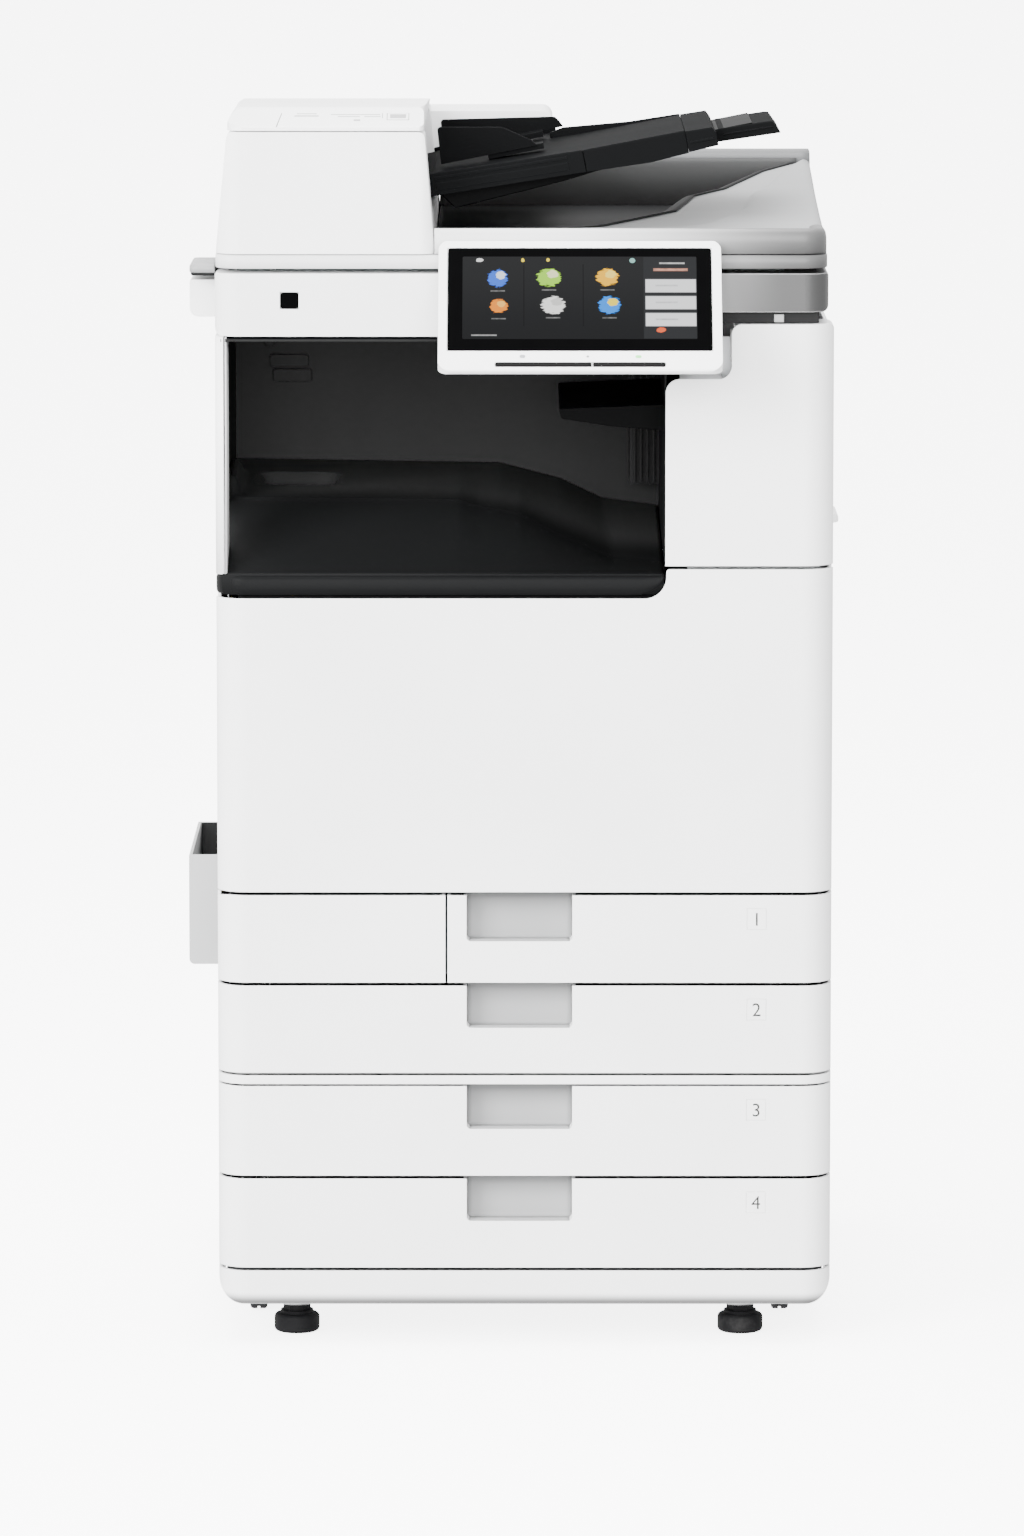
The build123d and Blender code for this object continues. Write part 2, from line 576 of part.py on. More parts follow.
def pickup_roller():
    """Grey feed roller on its shaft."""
    tyre = rod_y(-150, 225, 262, 1080, 13)
    hub = rod_y(-150, 220, 267, 1080, 8)
    return group(tyre, hub) - rod_y(-150, 200, 290, 1080, 4 + RUN_GAP)


# ======================= control panel =======================


def on_panel(shape):
    """Place a piece drawn on the panel face: x along the width, y up the face, z out of the face."""
    face = Plane(origin=(0, PANEL_TOP_Y, PANEL_TOP_Z), x_dir=(1, 0, 0),
                 z_dir=(0, -math.cos(math.radians(PANEL_TILT)), math.sin(math.radians(PANEL_TILT))))
    return face.location * shape


def panel_housing():
    """Wedge-backed frame of the touch panel, thin at its top edge."""
    wedge = along_x([(-PANEL_LEN, -6, 3), (-128, -20, 10), (-60, -23, 6), (0, -4, 1), (0, 0, 2),
                     (-PANEL_LEN, 0, 2)], PANEL_X0, PANEL_X1)
    face = along_z(rect(PANEL_X0, PANEL_X1, -PANEL_LEN, 0, 11), -30, 1)
    body = wedge & face
    body = body - slab(-70, 169.5, -126, -9, -2.2, 1)
    body = body - along_z(rect(-27, 127, -144, -138.5, 2), -2.6, 1)
    body = on_panel(body - slab(48, 54, -60, -50, -23, -12))
    pivot_y, pivot_z = PANEL_PIVOT
    lugs = [rod_x(x, x + 8, pivot_y, pivot_z, 7) for x in (22, 72)]
    webs = [slab(x, x + 8, pivot_y - 12, pivot_y, pivot_z - 6, pivot_z + 4) for x in (22, 72)]
    bore = rod_x(10, 92, pivot_y, pivot_z, 3.5 + RUN_GAP)
    return group(body, *lugs, *webs) - bore - slab(30.2, 71.8, pivot_y - 10, 3, pivot_z - 10, pivot_z + 10)


def panel_glass():
    """Black glass of the touch panel."""
    return on_panel(along_z(rect(-69.4, 168.9, -125.4, -9.6, 3), -2, 0.6))


def home_key():
    """Long low key bar under the glass."""
    return on_panel(along_z(rect(-26.4, 60, -143.4, -139.1, 1.8), -1.4, 0.4))


def power_key():
    """Right-hand part of the key bar, wakes the machine."""
    return on_panel(along_z(rect(61.5, 126.4, -143.4, -139.1, 1.8), -1.4, 0.4))


def panel_arm():
    """Fixed arm from the scanner front to the panel hinge."""
    pivot_y, pivot_z = PANEL_PIVOT
    arm = slab(32, 70, pivot_y, 0, pivot_z - 4, pivot_z + 4)
    foot = slab(30.6, 71.4, -3, 0, pivot_z - 14, pivot_z + 8)
    return group(arm, foot, rod_x(31, 71, pivot_y, pivot_z, 6), rod_x(20, 82, pivot_y, pivot_z, 3.5))


# ======================= covers and drawers =======================


def swing_relief(top, start, drop, x0, x1):
    """Wedge taken off the top of a cover's return so its far corner clears what is above as it swings."""
    wedge = [(start, top + 1), (start, top), (RETURN_D + 1, top - drop), (RETURN_D + 1, top + 1)]
    return along_x(wedge, x0, x1)


def front_cover():
    """Large hinged front cover; its top edge steps down under the output tray lip."""
    skin = wrap_skin(-HALF_W, HALF_W, COVER_Z0, COVER_Z1)
    keep = [(-HALF_W, COVER_Z0), (HALF_W, COVER_Z0), (HALF_W, COVER_Z1), (BAY_X1 + 1, COVER_Z1, 3),
            (BAY_X1 + 1, LIP_Z0 - 2.5, 20), (-HALF_W, LIP_Z0 - 2.5)]
    skin = skin & along_y(keep, -1, RETURN_D + 1)
    ribs = [slab(x, x + 2, 2, 16, COVER_Z0 + 12, 684) for x in (-180.0, -60.0, 60.0, 180.0)]
    bars = [slab(-240, 240, 2, 12, z, z + 2) for z in (470, 560, 650)]
    skin = skin - swing_relief(COVER_Z1, 22, 4.4, BAY_X1 + 2, HALF_W + 1)
    skin = skin - swing_relief(LIP_Z0 - 2.5, 22, 4.8, -HALF_W - 1, -200)
    return group(skin, *ribs, *bars)


def waste_cover():
    """Small hinged cover left of the first drawer."""
    z0, z1 = DRAWER_Z[1]
    skin = wrap_skin(-HALF_W, WASTE_X1, z0, z1, right=False, depth=WASTE_RETURN)
    skin = skin - slab(WASTE_X1 - SKIN - 0.1, WASTE_X1 + 1, 14, RETURN_D + 1, z0 - 1, z1 + 1)
    skin = skin - swing_relief(z1, 8, 9.0, -HALF_W - 1, -240)
    return skin + slab(-230, -110, 2, 10, z0 + 20, z0 + 22)


def drawer_front(number):
    """Drawer front with wrapped corners and an open-topped finger recess."""
    z0, z1 = DRAWER_Z[number]
    narrow = number == 1
    x0 = DRAWER1_X0 if narrow else -HALF_W
    skin = wrap_skin(x0, HALF_W, z0, z1, left=not narrow)
    if narrow:
        skin = skin - slab(x0 - 1, x0 + SKIN + 0.1, 14, RETURN_D + 1, z0 - 1, z1 + 1)
    recess_z = RECESS_Z[number]
    notch_side = [(RECESS_X0, z1 + 1), (RECESS_X0, recess_z, 4), (RECESS_X1, recess_z, 4),
                  (RECESS_X1, z1 + 1)]
    notch = along_y(notch_side, -1, RECESS_DEPTH)
    cup = slab(RECESS_X0 - 3, RECESS_X1 + 3, 1, RECESS_DEPTH + 3, recess_z - 3, z1 - 1)
    tag = slab(NUMBER_X - 9, NUMBER_X + 9, -0.01, 0.5, z1 - 32, z1 - 12)
    inner = slab(x0 + 30, HALF_W - 30, 2, TRAY_Y0 - 2, z0 + 8, z0 + 10)
    tile = slab(NUMBER_X - 8.6, NUMBER_X + 8.6, -1, 1, z1 - 31.6, z1 - 12.4)
    return group(skin, cup, inner) - notch - (tag - tile)


def drawer_tray(number):
    """Paper cassette with side guides, lift plate and rear stop, carrying a stack of sheets."""
    z0, z1 = DRAWER_Z[number]
    x0 = -60.0 if number == 1 else -262.0
    x1 = 262.0
    low = z0 + 10.0
    high = z1 - 8.0
    w = TRAY_WALL
    floor = slab(x0, x1, TRAY_Y0, TRAY_Y1, low, low + w)
    walls = [
        slab(x0, x0 + w, TRAY_Y0, TRAY_Y1, low, high),
        slab(x1 - w, x1, TRAY_Y0, TRAY_Y1, low, high),
        slab(x0, x1, TRAY_Y0, TRAY_Y0 + w, low, high),
        slab(x0, x1, TRAY_Y1 - w, TRAY_Y1, low, high - 20),
    ]
    lift = slab(x0 + 16, x1 - 16, 80, 500, low + w, low + 8)
    sheets = slab(x0 + 22, x1 - 22, 110, 430, low + 8, high - 22)
    stops = [slab(x, x + 30, 431, 435, low + w, high - 6) for x in (x0 + 60, x1 - 110)]
    sides = [slab(x, x + 3, 180, 320, low + w, high - 6) for x in (x0 + 18, x1 - 21)]
    brackets = [slab(x, x + 12, TRAY_Y0 - 3, TRAY_Y0 + w, low, low + 20) for x in (x0 + 20, x1 - 32)]
    return group(floor, *walls, lift, sheets, *stops, *sides, *brackets)


def right_door():
    """Side door with inner ribs, a pocket for the bypass tray and a latch handle."""
    skin = along_x(rect(DOOR_Y0, DOOR_Y1, DOOR_Z0, DOOR_Z1, 6), HALF_W - SKIN, HALF_W)
    opening = slab(HALF_W - 4, HALF_W + 1, 110, 430, 468, 682)
    backing = slab(HALF_W - 9, HALF_W - 7, 104, 436, 464, 686)
    frame = slab(HALF_W - 9, HALF_W - 1, 104, 436, 464, 686) - slab(HALF_W - 10, HALF_W, 107, 433, 467, 683)
    latch_side = [(HALF_W - 1, 740), (RIGHT_OUT, 742, 2), (RIGHT_OUT, 748, 2), (HALF_W - 1, 750)]
    latch = along_y(latch_side, 180, 260)
    ribs = [slab(HALF_W - 9, HALF_W - 2, y, y + 2, 700, 780) for y in (120.0, 260.0, 400.0)]
    return group(skin - opening, backing, frame, latch, *ribs)


def bypass_tray():
    """Fold-out bypass tray lying closed in the side door, with two slide rails on its inner face."""
    plate = along_x(rect(111, 429, 471, 679, 4), HALF_W - 5.5, HALF_W - 0.5)
    rails = [slab(HALF_W - 6.5, HALF_W - 5.5, y, y + 3, 500, 660) for y in (200.0, 330.0)]
    return group(plate, *rails)


# ======================= inner units and fittings =======================


def laser_unit():
    """Flat sealed laser scanner box above the drawers."""
    box = along_z(rect(-200, 200, 180, 420, 8), 424, 462)
    return group(box, slab(-150, 150, 200, 220, 462, 466), rod_z(60, 320, 462, 470, 22))


def imaging_unit():
    """Four drum cassettes in a row with the transfer belt frame above them."""
    parts = []
    for i in range(4):
        x = -210 + i * 105
        drum = [(x - 34, 490, 6), (x + 34, 490, 6), (x + 34, 552, 10), (x - 20, 560, 6)]
        parts.append(along_y(drum, 60, 470))
        parts.append(rod_y(x + 20, 56, 60, 520, 10))
    parts.append(slab(-252, 180, 60, 470, 566, 590))
    parts += [rod_y(x, 60, 470, 578, 13) for x in (-252, 180)]
    return group(*parts)


def fixing_unit():
    """Fixing unit with a heat roller and a pressure roller in a ribbed case."""
    case = slab(165, 258, 85, 470, 600, 686) - slab(180, 262, 95, 460, 610, 676)
    return group(case, rod_y(200, 90, 465, 643, 16), rod_y(235, 90, 465, 643, 17))


def electronics():
    """Main board tray and power supply behind the engine."""
    tray = slab(-240, 240, 560, 562, 440, 680)
    board = slab(-220, 60, 555, 557, 470, 660)
    posts = [rod_y(x, 556, 561, z, 3) for x in (-210, 50) for z in (480, 650)]
    supply = slab(90, 220, 500, 561, 470, 600)
    return group(tray, board, supply, *posts)


def toner_bottle(index):
    """Toner bottle lying front to back behind the front cover."""
    x = -200 + index * 95
    body = rod_y(x, 60, 400, 640, 30)
    body = fillet(body.edges(), 6)
    rings = [rod_y(x, y, y + 4, 640, 31.5) for y in (110, 180, 250, 320)]
    cap = rod_y(x, 42, 62, 640, 24)
    key = slab(x - 14, x + 14, 36, 44, 637, 643)
    return group(body, cap, key, *rings)


def power_inlet():
    """Three-pin appliance inlet in the rear wall."""
    w = INLET_HALF_W
    shell = Pos(200, 0, 0) * slab(-w, w, 596, BODY_D, INLET_Z - 14, INLET_Z + 14)
    shell = shell - Pos(200, 0, 0) * slab(-w + 4, w - 4, 600, BODY_D + 1, INLET_Z - 10, INLET_Z + 10)
    pins = [slab(200 + x - 1, 200 + x + 1, 598, 614, INLET_Z - 4 + z, INLET_Z + 4 + z)
            for x, z in ((-10, -2), (0, 3), (10, -2))]
    return group(shell, *pins)


def manual_pocket():
    """Open-topped document pocket on the left side."""
    outer = along_y([(-HALF_W, 332), (-LEFT_OUT, 332, 5), (-LEFT_OUT, 435, 1), (-HALF_W, 435)], 130, 347)
    hollow = [(-HALF_W - 2, 335), (3 - LEFT_OUT, 335, 3), (3 - LEFT_OUT, 436), (-HALF_W - 2, 436)]
    inner = along_y(hollow, 133, 344)
    return outer - inner


def cover_screws():
    """Slotted screws set into the rear cover."""
    parts = []
    for x, z in SCREW_PLACES:
        slot = slab(x - 3, x + 3, BODY_D - 0.5, BODY_D + 1, z - 0.6, z + 0.6)
        parts.append(rod_y(x, BODY_D - 3, BODY_D, z, SCREW_R) - slot)
    return group(*parts)


def build():
    os.makedirs("parts", exist_ok=True)
    save("base_pan", base_pan())
    save("pedestal_trim", pedestal_trim())
    save("main_frame", main_frame())
    save("left_cover", left_cover())
    save("right_cover", right_cover())
    save("rear_cover", rear_cover())
    save("cover_screws", cover_screws())
    save("right_front_cover", right_front_cover())
    save("bay_liner", bay_liner())
    save("output_tray", output_tray())
    save("upper_tray", upper_tray())
    save("scanner_housing", scanner_housing())
    save("platen_glass", platen_glass())
    save("scan_carriage", scan_carriage())
    save("sensor_window", sensor_window())
    save("lid_hinge_brackets", lid_hinge_brackets())
    save("lid_base", lid_base())
    save("feeder_body", feeder_body())
    save("feeder_cover", feeder_cover())
    save("exit_liner", exit_liner())
    save("platen_pad", platen_pad())
    save("document_tray", document_tray())
    save("document_guide_front", document_guide(-1))
    save("document_guide_rear", document_guide(1))
    save("tray_extension", tray_extension())
    save("pickup_roller", pickup_roller())
    save("panel_housing", panel_housing())
    save("panel_glass", panel_glass())
    save("home_key", home_key())
    save("power_key", power_key())
    save("panel_arm", panel_arm())
    save("front_cover", front_cover())
    save("waste_cover", waste_cover())
    for number in DRAWER_Z:
        save(f"drawer_{number}_front", drawer_front(number))
        save(f"drawer_{number}_tray", drawer_tray(number))
    save("right_door", right_door())
    save("bypass_tray", bypass_tray())
    save("laser_unit", laser_unit())
    save("imaging_unit", imaging_unit())
    save("fixing_unit", fixing_unit())
    save("electronics", electronics())
    for index, colour in enumerate(("yellow", "magenta", "cyan", "black")):
        save(f"toner_bottle_{colour}", toner_bottle(index))
    save("power_inlet", power_inlet())
    save("manual_pocket", manual_pocket())
    for side, x in zip(("left", "right"), CASTER_X):
        save(f"caster_fork_{side}", swivel_fork(x))
        save(f"caster_wheel_{side}", wheel(x, CASTER_Y + TRAIL))
    save("rear_wheels", group(*[wheel(x, REAR_CASTER_Y) for x in CASTER_X]))
    for side, x in zip(("left", "right"), FOOT_X):
        save(f"levelling_foot_{side}", levelling_foot(x))


build()
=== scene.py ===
import json
import math

import bmesh
import bpy
import numpy as np
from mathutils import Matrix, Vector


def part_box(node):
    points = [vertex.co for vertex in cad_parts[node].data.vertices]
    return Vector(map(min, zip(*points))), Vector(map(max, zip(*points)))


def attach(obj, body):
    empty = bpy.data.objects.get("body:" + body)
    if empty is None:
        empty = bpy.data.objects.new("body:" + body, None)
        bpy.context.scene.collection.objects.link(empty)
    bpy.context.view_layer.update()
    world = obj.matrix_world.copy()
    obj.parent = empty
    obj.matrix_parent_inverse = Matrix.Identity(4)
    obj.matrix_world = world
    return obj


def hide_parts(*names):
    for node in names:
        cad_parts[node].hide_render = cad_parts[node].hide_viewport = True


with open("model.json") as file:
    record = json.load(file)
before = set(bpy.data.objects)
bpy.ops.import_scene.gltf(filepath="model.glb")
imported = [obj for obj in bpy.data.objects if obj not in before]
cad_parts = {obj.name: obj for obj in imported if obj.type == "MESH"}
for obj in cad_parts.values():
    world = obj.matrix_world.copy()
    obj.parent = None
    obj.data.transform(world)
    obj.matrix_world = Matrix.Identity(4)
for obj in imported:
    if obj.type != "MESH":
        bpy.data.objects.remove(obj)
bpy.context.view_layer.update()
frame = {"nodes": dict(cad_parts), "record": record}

NODES = frame["nodes"]
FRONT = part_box("front_cover")[0].y              # front face of the covers
MIDDLE = (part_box("front_cover")[0].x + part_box("front_cover")[1].x) / 2


# ------------------------------------------------------------------ shader maths


class Field:
    """A number that varies over a surface; + - * / and the methods below add shader maths nodes."""

    def __init__(self, finish, socket):
        self.finish = finish
        self.socket = socket

    def _op(self, operation, *values, clamp=False):
        node = self.finish.add("ShaderNodeMath", operation=operation, use_clamp=clamp)
        for slot, value in zip(node.inputs, values):
            self.finish.feed(slot, value)
        return Field(self.finish, node.outputs[0])

    def __add__(self, other):
        return self._op("ADD", self, other)

    __radd__ = __add__

    def __sub__(self, other):
        return self._op("SUBTRACT", self, other)

    def __mul__(self, other):
        return self._op("MULTIPLY", self, other)

    def __truediv__(self, other):
        return self._op("DIVIDE", self, other)

    def size(self):
        return self._op("ABSOLUTE", self)

    def most(self, other):
        return self._op("MAXIMUM", self, other)

    def ramp(self, start, end):
        """0 at start, 1 at end, smooth between; start may be the larger."""
        node = self.finish.add("ShaderNodeMapRange", interpolation_type="SMOOTHSTEP")
        for name, value in (("From Min", min(start, end)), ("From Max", max(start, end))):
            node.inputs[name].default_value = value
        node.inputs["To Min"].default_value = 0.0 if start < end else 1.0
        node.inputs["To Max"].default_value = 1.0 if start < end else 0.0
        self.finish.feed(node.inputs["Value"], self)
        return Field(self.finish, node.outputs["Result"])


class Finish:
    """One material: a Principled shader and the helpers that feed it."""

    def __init__(self, name, **constants):
        self.material = bpy.data.materials.new(name)
        self.material.use_nodes = True
        self.tree = self.material.node_tree
        self.shader = self.tree.nodes["Principled BSDF"]
        for socket, value in constants.items():
            self.shader.inputs[socket.replace("_", " ")].default_value = value
        self._place = None

    def add(self, kind, settings=None, **attributes):
        node = self.tree.nodes.new(kind)
        for key, value in attributes.items():
            setattr(node, key, value)
        for key, value in (settings or {}).items():
            self.feed(node.inputs[key], value)
        return node

    def feed(self, socket, value):
        if isinstance(value, Field):
            value = value.socket
        if isinstance(value, bpy.types.NodeSocket):
            self.tree.links.new(value, socket)
        else:
            socket.default_value = value

    def place(self):
        """Position on the object, in metres."""
        if self._place is None:
            self._place = self.add("ShaderNodeTexCoord").outputs["Object"]
        return self._place

    def axes(self):
        split = self.add("ShaderNodeSeparateXYZ", {"Vector": self.place()})
        return [Field(self, split.outputs[i]) for i in range(3)]

    def noise(self, scale, detail, rough=0.5, stretch=None):
        place = self.place()
        if stretch:
            place = self.add("ShaderNodeVectorMath", {0: place, 1: stretch}, operation="MULTIPLY").outputs[0]
        node = self.add("ShaderNodeTexNoise",
                        {"Vector": place, "Scale": scale, "Detail": detail, "Roughness": rough})
        return Field(self, node.outputs["Fac"])

    def mix(self, amount, first, second):
        node = self.add("ShaderNodeMix", data_type="RGBA")
        self.feed(node.inputs[0], amount)
        self.feed(node.inputs[6], first)
        self.feed(node.inputs[7], second)
        return node.outputs[2]

    def edges(self, radius):
        """1 along worn edges within the radius, 0 on flats."""
        bevel = self.add("ShaderNodeBevel", {"Radius": radius}, samples=4)
        normal = self.add("ShaderNodeNewGeometry").outputs["Normal"]
        dot = self.add("ShaderNodeVectorMath", {0: bevel.outputs[0], 1: normal}, operation="DOT_PRODUCT")
        return Field(self, dot.outputs["Value"]).ramp(0.98, 0.8)

    def colour(self, value):
        self.feed(self.shader.inputs["Base Color"], value)

    def rough(self, value):
        self.feed(self.shader.inputs["Roughness"], value)

    def relief(self, height, distance, strength, edge=None):
        bump = self.add("ShaderNodeBump", {"Height": height, "Distance": distance, "Strength": strength})
        if edge:
            rounded = self.add("ShaderNodeBevel", {"Radius": edge}, samples=4)
            self.feed(bump.inputs["Normal"], rounded.outputs[0])
        self.feed(self.shader.inputs["Normal"], bump.outputs[0])


def grey(value, warm=0.0):
    """Grey colour, a touch redder than blue when warm is above 0."""
    return (value + warm, value, value - warm, 1.0)


EDGE_ROUNDING = 0.0012                          # how far in the edges of mouldings look rounded, metres


def moulded(name, tone, roughness, wear=1.06, specular=0.4, painted_shading=None):
    """Fine spark-eroded plastic: tiny grain, faint cloudiness and smoother rubbed edges.
    painted_shading is (axis number, start, end, tone at the end) in metres: the tone runs off along that axis
    to the end tone, as painted shade where it darkens and painted light where it lightens."""
    finish = Finish(name, Specular_IOR_Level=specular)
    pits = finish.noise(2600.0, 1.0, 0.6)
    cloud = finish.noise(5.0, 3.0, 0.6)
    rub = finish.edges(EDGE_ROUNDING * 1.5)
    dark = tuple(c * 0.965 for c in tone[:3]) + (1.0,)
    light = tuple(min(1.0, c * 1.02) for c in tone[:3]) + (1.0,)
    worn = tuple(min(1.0, c * wear) for c in tone[:3]) + (1.0,)
    base = finish.mix(cloud.ramp(0.3, 0.7), dark, light)
    # the tone runs off along one axis: painted shade where the far tone is darker, painted light where it is
    # lighter
    if painted_shading:
        axis, start, end, far_tone = painted_shading
        base = finish.mix(finish.axes()[axis].ramp(start, end), base, far_tone)
    finish.colour(finish.mix(rub * 0.5, base, worn))
    finish.rough(roughness + (cloud - 0.5) * 0.08 + (pits - 0.5) * 0.06 - rub * 0.08)
    finish.relief(pits, 0.00002, 0.5, EDGE_ROUNDING)
    return finish.material


def brushed(name, tone, roughness):
    """Drawn steel: long fine scratches along one way."""
    finish = Finish(name, Metallic=1.0)
    lines = finish.noise(300.0, 3.0, 0.6, (1.0, 1.0, 40.0))
    cloud = finish.noise(14.0, 2.0)
    finish.colour(finish.mix(cloud, tuple(c * 0.9 for c in tone[:3]) + (1.0,), tone))
    finish.rough(roughness + (lines - 0.5) * 0.2)
    finish.relief(lines, 0.00002, 0.3, 0.0006)
    return finish.material


def rubber(name, tone):
    """Dull moulded rubber with dust in its grain."""
    finish = Finish(name, Specular_IOR_Level=0.06)
    grain = finish.noise(1500.0, 2.0, 0.7)
    dust = finish.noise(40.0, 4.0, 0.7)
    finish.colour(finish.mix(dust.ramp(0.45, 0.8) * 0.3, tone, (0.05, 0.049, 0.048, 1.0)))
    finish.rough(0.62 + (dust - 0.5) * 0.15)
    finish.relief(grain, 0.00004, 0.6, 0.001)
    return finish.material


WHITE = moulded("cover_white_plastic", grey(0.86, -0.002), 0.42)
# painted shade: the scanner housing darkens to near black towards its right end
HOUSING = moulded("scanner_white_painted_shade_right", grey(0.78, -0.002), 0.42, painted_shading=(0, 0.03, 0.25, grey(0.03)))
# painted shade: the lid plastic darkens towards its right end
LID_GREY = moulded("lid_grey_painted_shade_right", grey(0.62, -0.002), 0.42, painted_shading=(0, 0.0, 0.27, grey(0.07)))
SILVER = moulded("exit_end_silver_plastic", grey(0.22, -0.003), 0.4, specular=0.25)
REAR_WALL = moulded("exit_rear_wall_plastic", grey(0.09, -0.002), 0.4, specular=0.2)
POCKET = moulded("pocket_pale_grey_plastic", grey(0.32, -0.002), 0.42)
EXIT = moulded("exit_floor_grey_plastic", grey(0.0125, -0.0003), 0.5, wear=1.2, specular=0.03)
EXIT_BACK = moulded("exit_back_grey_plastic", grey(0.042, -0.0003), 0.5, wear=1.2, specular=0.1)
# painted shade: grey for the shaded back and floor of the drawers' finger recesses
RECESS = moulded("finger_recess_painted_shade", grey(0.25, -0.002), 0.5, specular=0.2)
# painted shade: the pedestal trim darkens over its lowest 10 mm, next to the floor
TRIM = moulded("pedestal_white_painted_shade_low", grey(0.84, -0.002), 0.42, painted_shading=(2, 0.047, 0.037, grey(0.08)))
LIFT = moulded("lift_lip_silver_plastic", grey(0.22, -0.002), 0.35)
PRINT = moulded("printed_pale_grey", grey(0.3), 0.5)
BAY = moulded("bay_black_plastic", grey(0.0045, -0.0002), 0.5, wear=1.6, specular=0.12)
# painted light: the tray black is painted lighter on its back plateau, deep inside the bay
TRAY = moulded("tray_black_painted_light_back", grey(0.0055, -0.0002), 0.45, wear=1.6, specular=0.06,
               painted_shading=(1, FRONT + 0.12, FRONT + 0.22, grey(0.026, -0.0003)))
FEED_BLACK = moulded("feed_tray_black_plastic", grey(0.0042, -0.0002), 0.55, wear=3.0, specular=0.003)
# painted shade: a darker copy of the feed tray black, for the tray's underside, the upper tray and the
# extension's plate
FEED_DARK = moulded("feed_tray_black_painted_shade", grey(0.0012, -0.0001), 0.5, wear=1.5, specular=0.02)
LIP = moulded("tray_lip_black_plastic", grey(0.0045, -0.0002), 0.42, wear=1.6, specular=0.03)
UNIT = moulded("inner_unit_black", grey(0.03), 0.5)
UNIT_GREY = moulded("inner_unit_grey", grey(0.3), 0.5)
FRAME_STEEL = brushed("zinc_sheet", (0.5, 0.51, 0.52, 1.0), 0.45)
STEEL = brushed("bright_steel", (0.62, 0.62, 0.62, 1.0), 0.28)
FOOT = rubber("foot_black_rubber", (0.0055, 0.0055, 0.006, 1.0))
WHEEL = rubber("wheel_black_rubber", (0.02, 0.02, 0.021, 1.0))
ROLLER = rubber("feed_roller_rubber", (0.2, 0.21, 0.23, 1.0))
CASSETTE = moulded("cassette_grey_plastic", grey(0.32), 0.5)
KEY = moulded("key_black_plastic", grey(0.002), 0.3, specular=0.05)
YELLOW = moulded("toner_yellow_plastic", (0.8, 0.6, 0.03, 1.0), 0.35)
MAGENTA = moulded("toner_magenta_plastic", (0.6, 0.03, 0.22, 1.0), 0.35)
CYAN = moulded("toner_cyan_plastic", (0.02, 0.3, 0.6, 1.0), 0.35)
BOARD = moulded("circuit_green_board", (0.02, 0.16, 0.06, 1.0), 0.4)


def clear_glass():
    """Clear float glass with faint smears in its gloss."""
    finish = Finish("document_glass", Alpha=0.35, Specular_IOR_Level=0.6)
    smear = finish.noise(9.0, 4.0, 0.7)
    finish.colour(finish.mix(smear, (0.6, 0.68, 0.66, 1.0), (0.7, 0.76, 0.74, 1.0)))
    finish.rough(0.03 + smear.ramp(0.4, 0.8) * 0.06)
    finish.relief(smear, 0.00001, 0.1)
    return finish.material


def tinted_window(name):
    """Dark tinted window with a soft gloss."""
    finish = Finish(name, Specular_IOR_Level=0.003)
    smear = finish.noise(60.0, 3.0)
    finish.colour(finish.mix(smear, (0.0006, 0.0006, 0.0007, 1.0), (0.0011, 0.0011, 0.0012, 1.0)))
    finish.rough(0.12 + smear * 0.1)
    finish.relief(smear, 0.00001, 0.1, 0.0008)
    return finish.material


GLASS = clear_glass()
WINDOW = tinted_window("sensor_dark_window")
PANEL_BLACK = tinted_window("panel_black_glass")

FINISHES = {
    "cover_white": WHITE, "lid_grey": LID_GREY, "exit_grey": EXIT, "bay_black": BAY, "tray_black": TRAY,
    "frame_steel": FRAME_STEEL, "bare_steel": STEEL, "clear_glass": GLASS, "dark_window": WINDOW,
    "unit_grey": UNIT_GREY, "unit_black": UNIT, "circuit_green": BOARD, "toner_yellow": YELLOW,
    "toner_magenta": MAGENTA, "toner_cyan": CYAN, "pad_white": WHITE, "roller_rubber": ROLLER,
    "panel_glass": PANEL_BLACK, "key_black": KEY, "cassette_grey": CASSETTE, "wheel_rubber": WHEEL,
    "foot_rubber": FOOT,
}
OWN_FINISH = {                                  # nodes with a finish of their own, whatever their slot
    "scanner_housing": HOUSING, "upper_tray": FEED_DARK, "manual_pocket": POCKET, "pedestal_trim": TRIM,
    "document_tray": FEED_BLACK, "document_guide_front": FEED_BLACK, "document_guide_rear": FEED_BLACK,
    "tray_extension": FEED_BLACK,
}
for entry in frame["record"]["subparts"]:
    worn = NODES[entry["node"]].data.materials
    worn.clear()
    worn.append(OWN_FINISH.get(entry["node"], FINISHES[entry["material_slot"]]))

# ------------------------------------------------------------------ camera and light

EYE = (MIDDLE, FRONT - 7.5, 1.565)
PITCH = math.radians(7.05)                      # looking down
YAW = math.radians(0.088)
lens = bpy.data.cameras.new("view")
lens.lens = 193.8
lens.sensor_fit = "VERTICAL"
lens.sensor_height = 36.0
lens.sensor_width = 24.0
lens.shift_y = -0.0726
lens.clip_start = 0.1
lens.clip_end = 200.0
camera = bpy.data.objects.new("view", lens)
camera.location = EYE
camera.rotation_euler = (math.radians(90) - PITCH, 0, YAW)
bpy.context.scene.collection.objects.link(camera)
bpy.context.scene.camera = camera


def softbox(name, place, aim, width, height, power):
    """Rectangular lamp at a place, turned to face its aim."""
    light = bpy.data.lights.new(name, "AREA")
    light.shape = "RECTANGLE"
    light.size = width
    light.size_y = height
    light.energy = power
    lamp = bpy.data.objects.new(name, light)
    lamp.location = place
    way = np.subtract(aim, place)
    tip = math.atan2(math.hypot(way[0], way[1]), -way[2])
    lamp.rotation_euler = (tip, 0, math.atan2(-way[0], way[1]))
    bpy.context.scene.collection.objects.link(lamp)


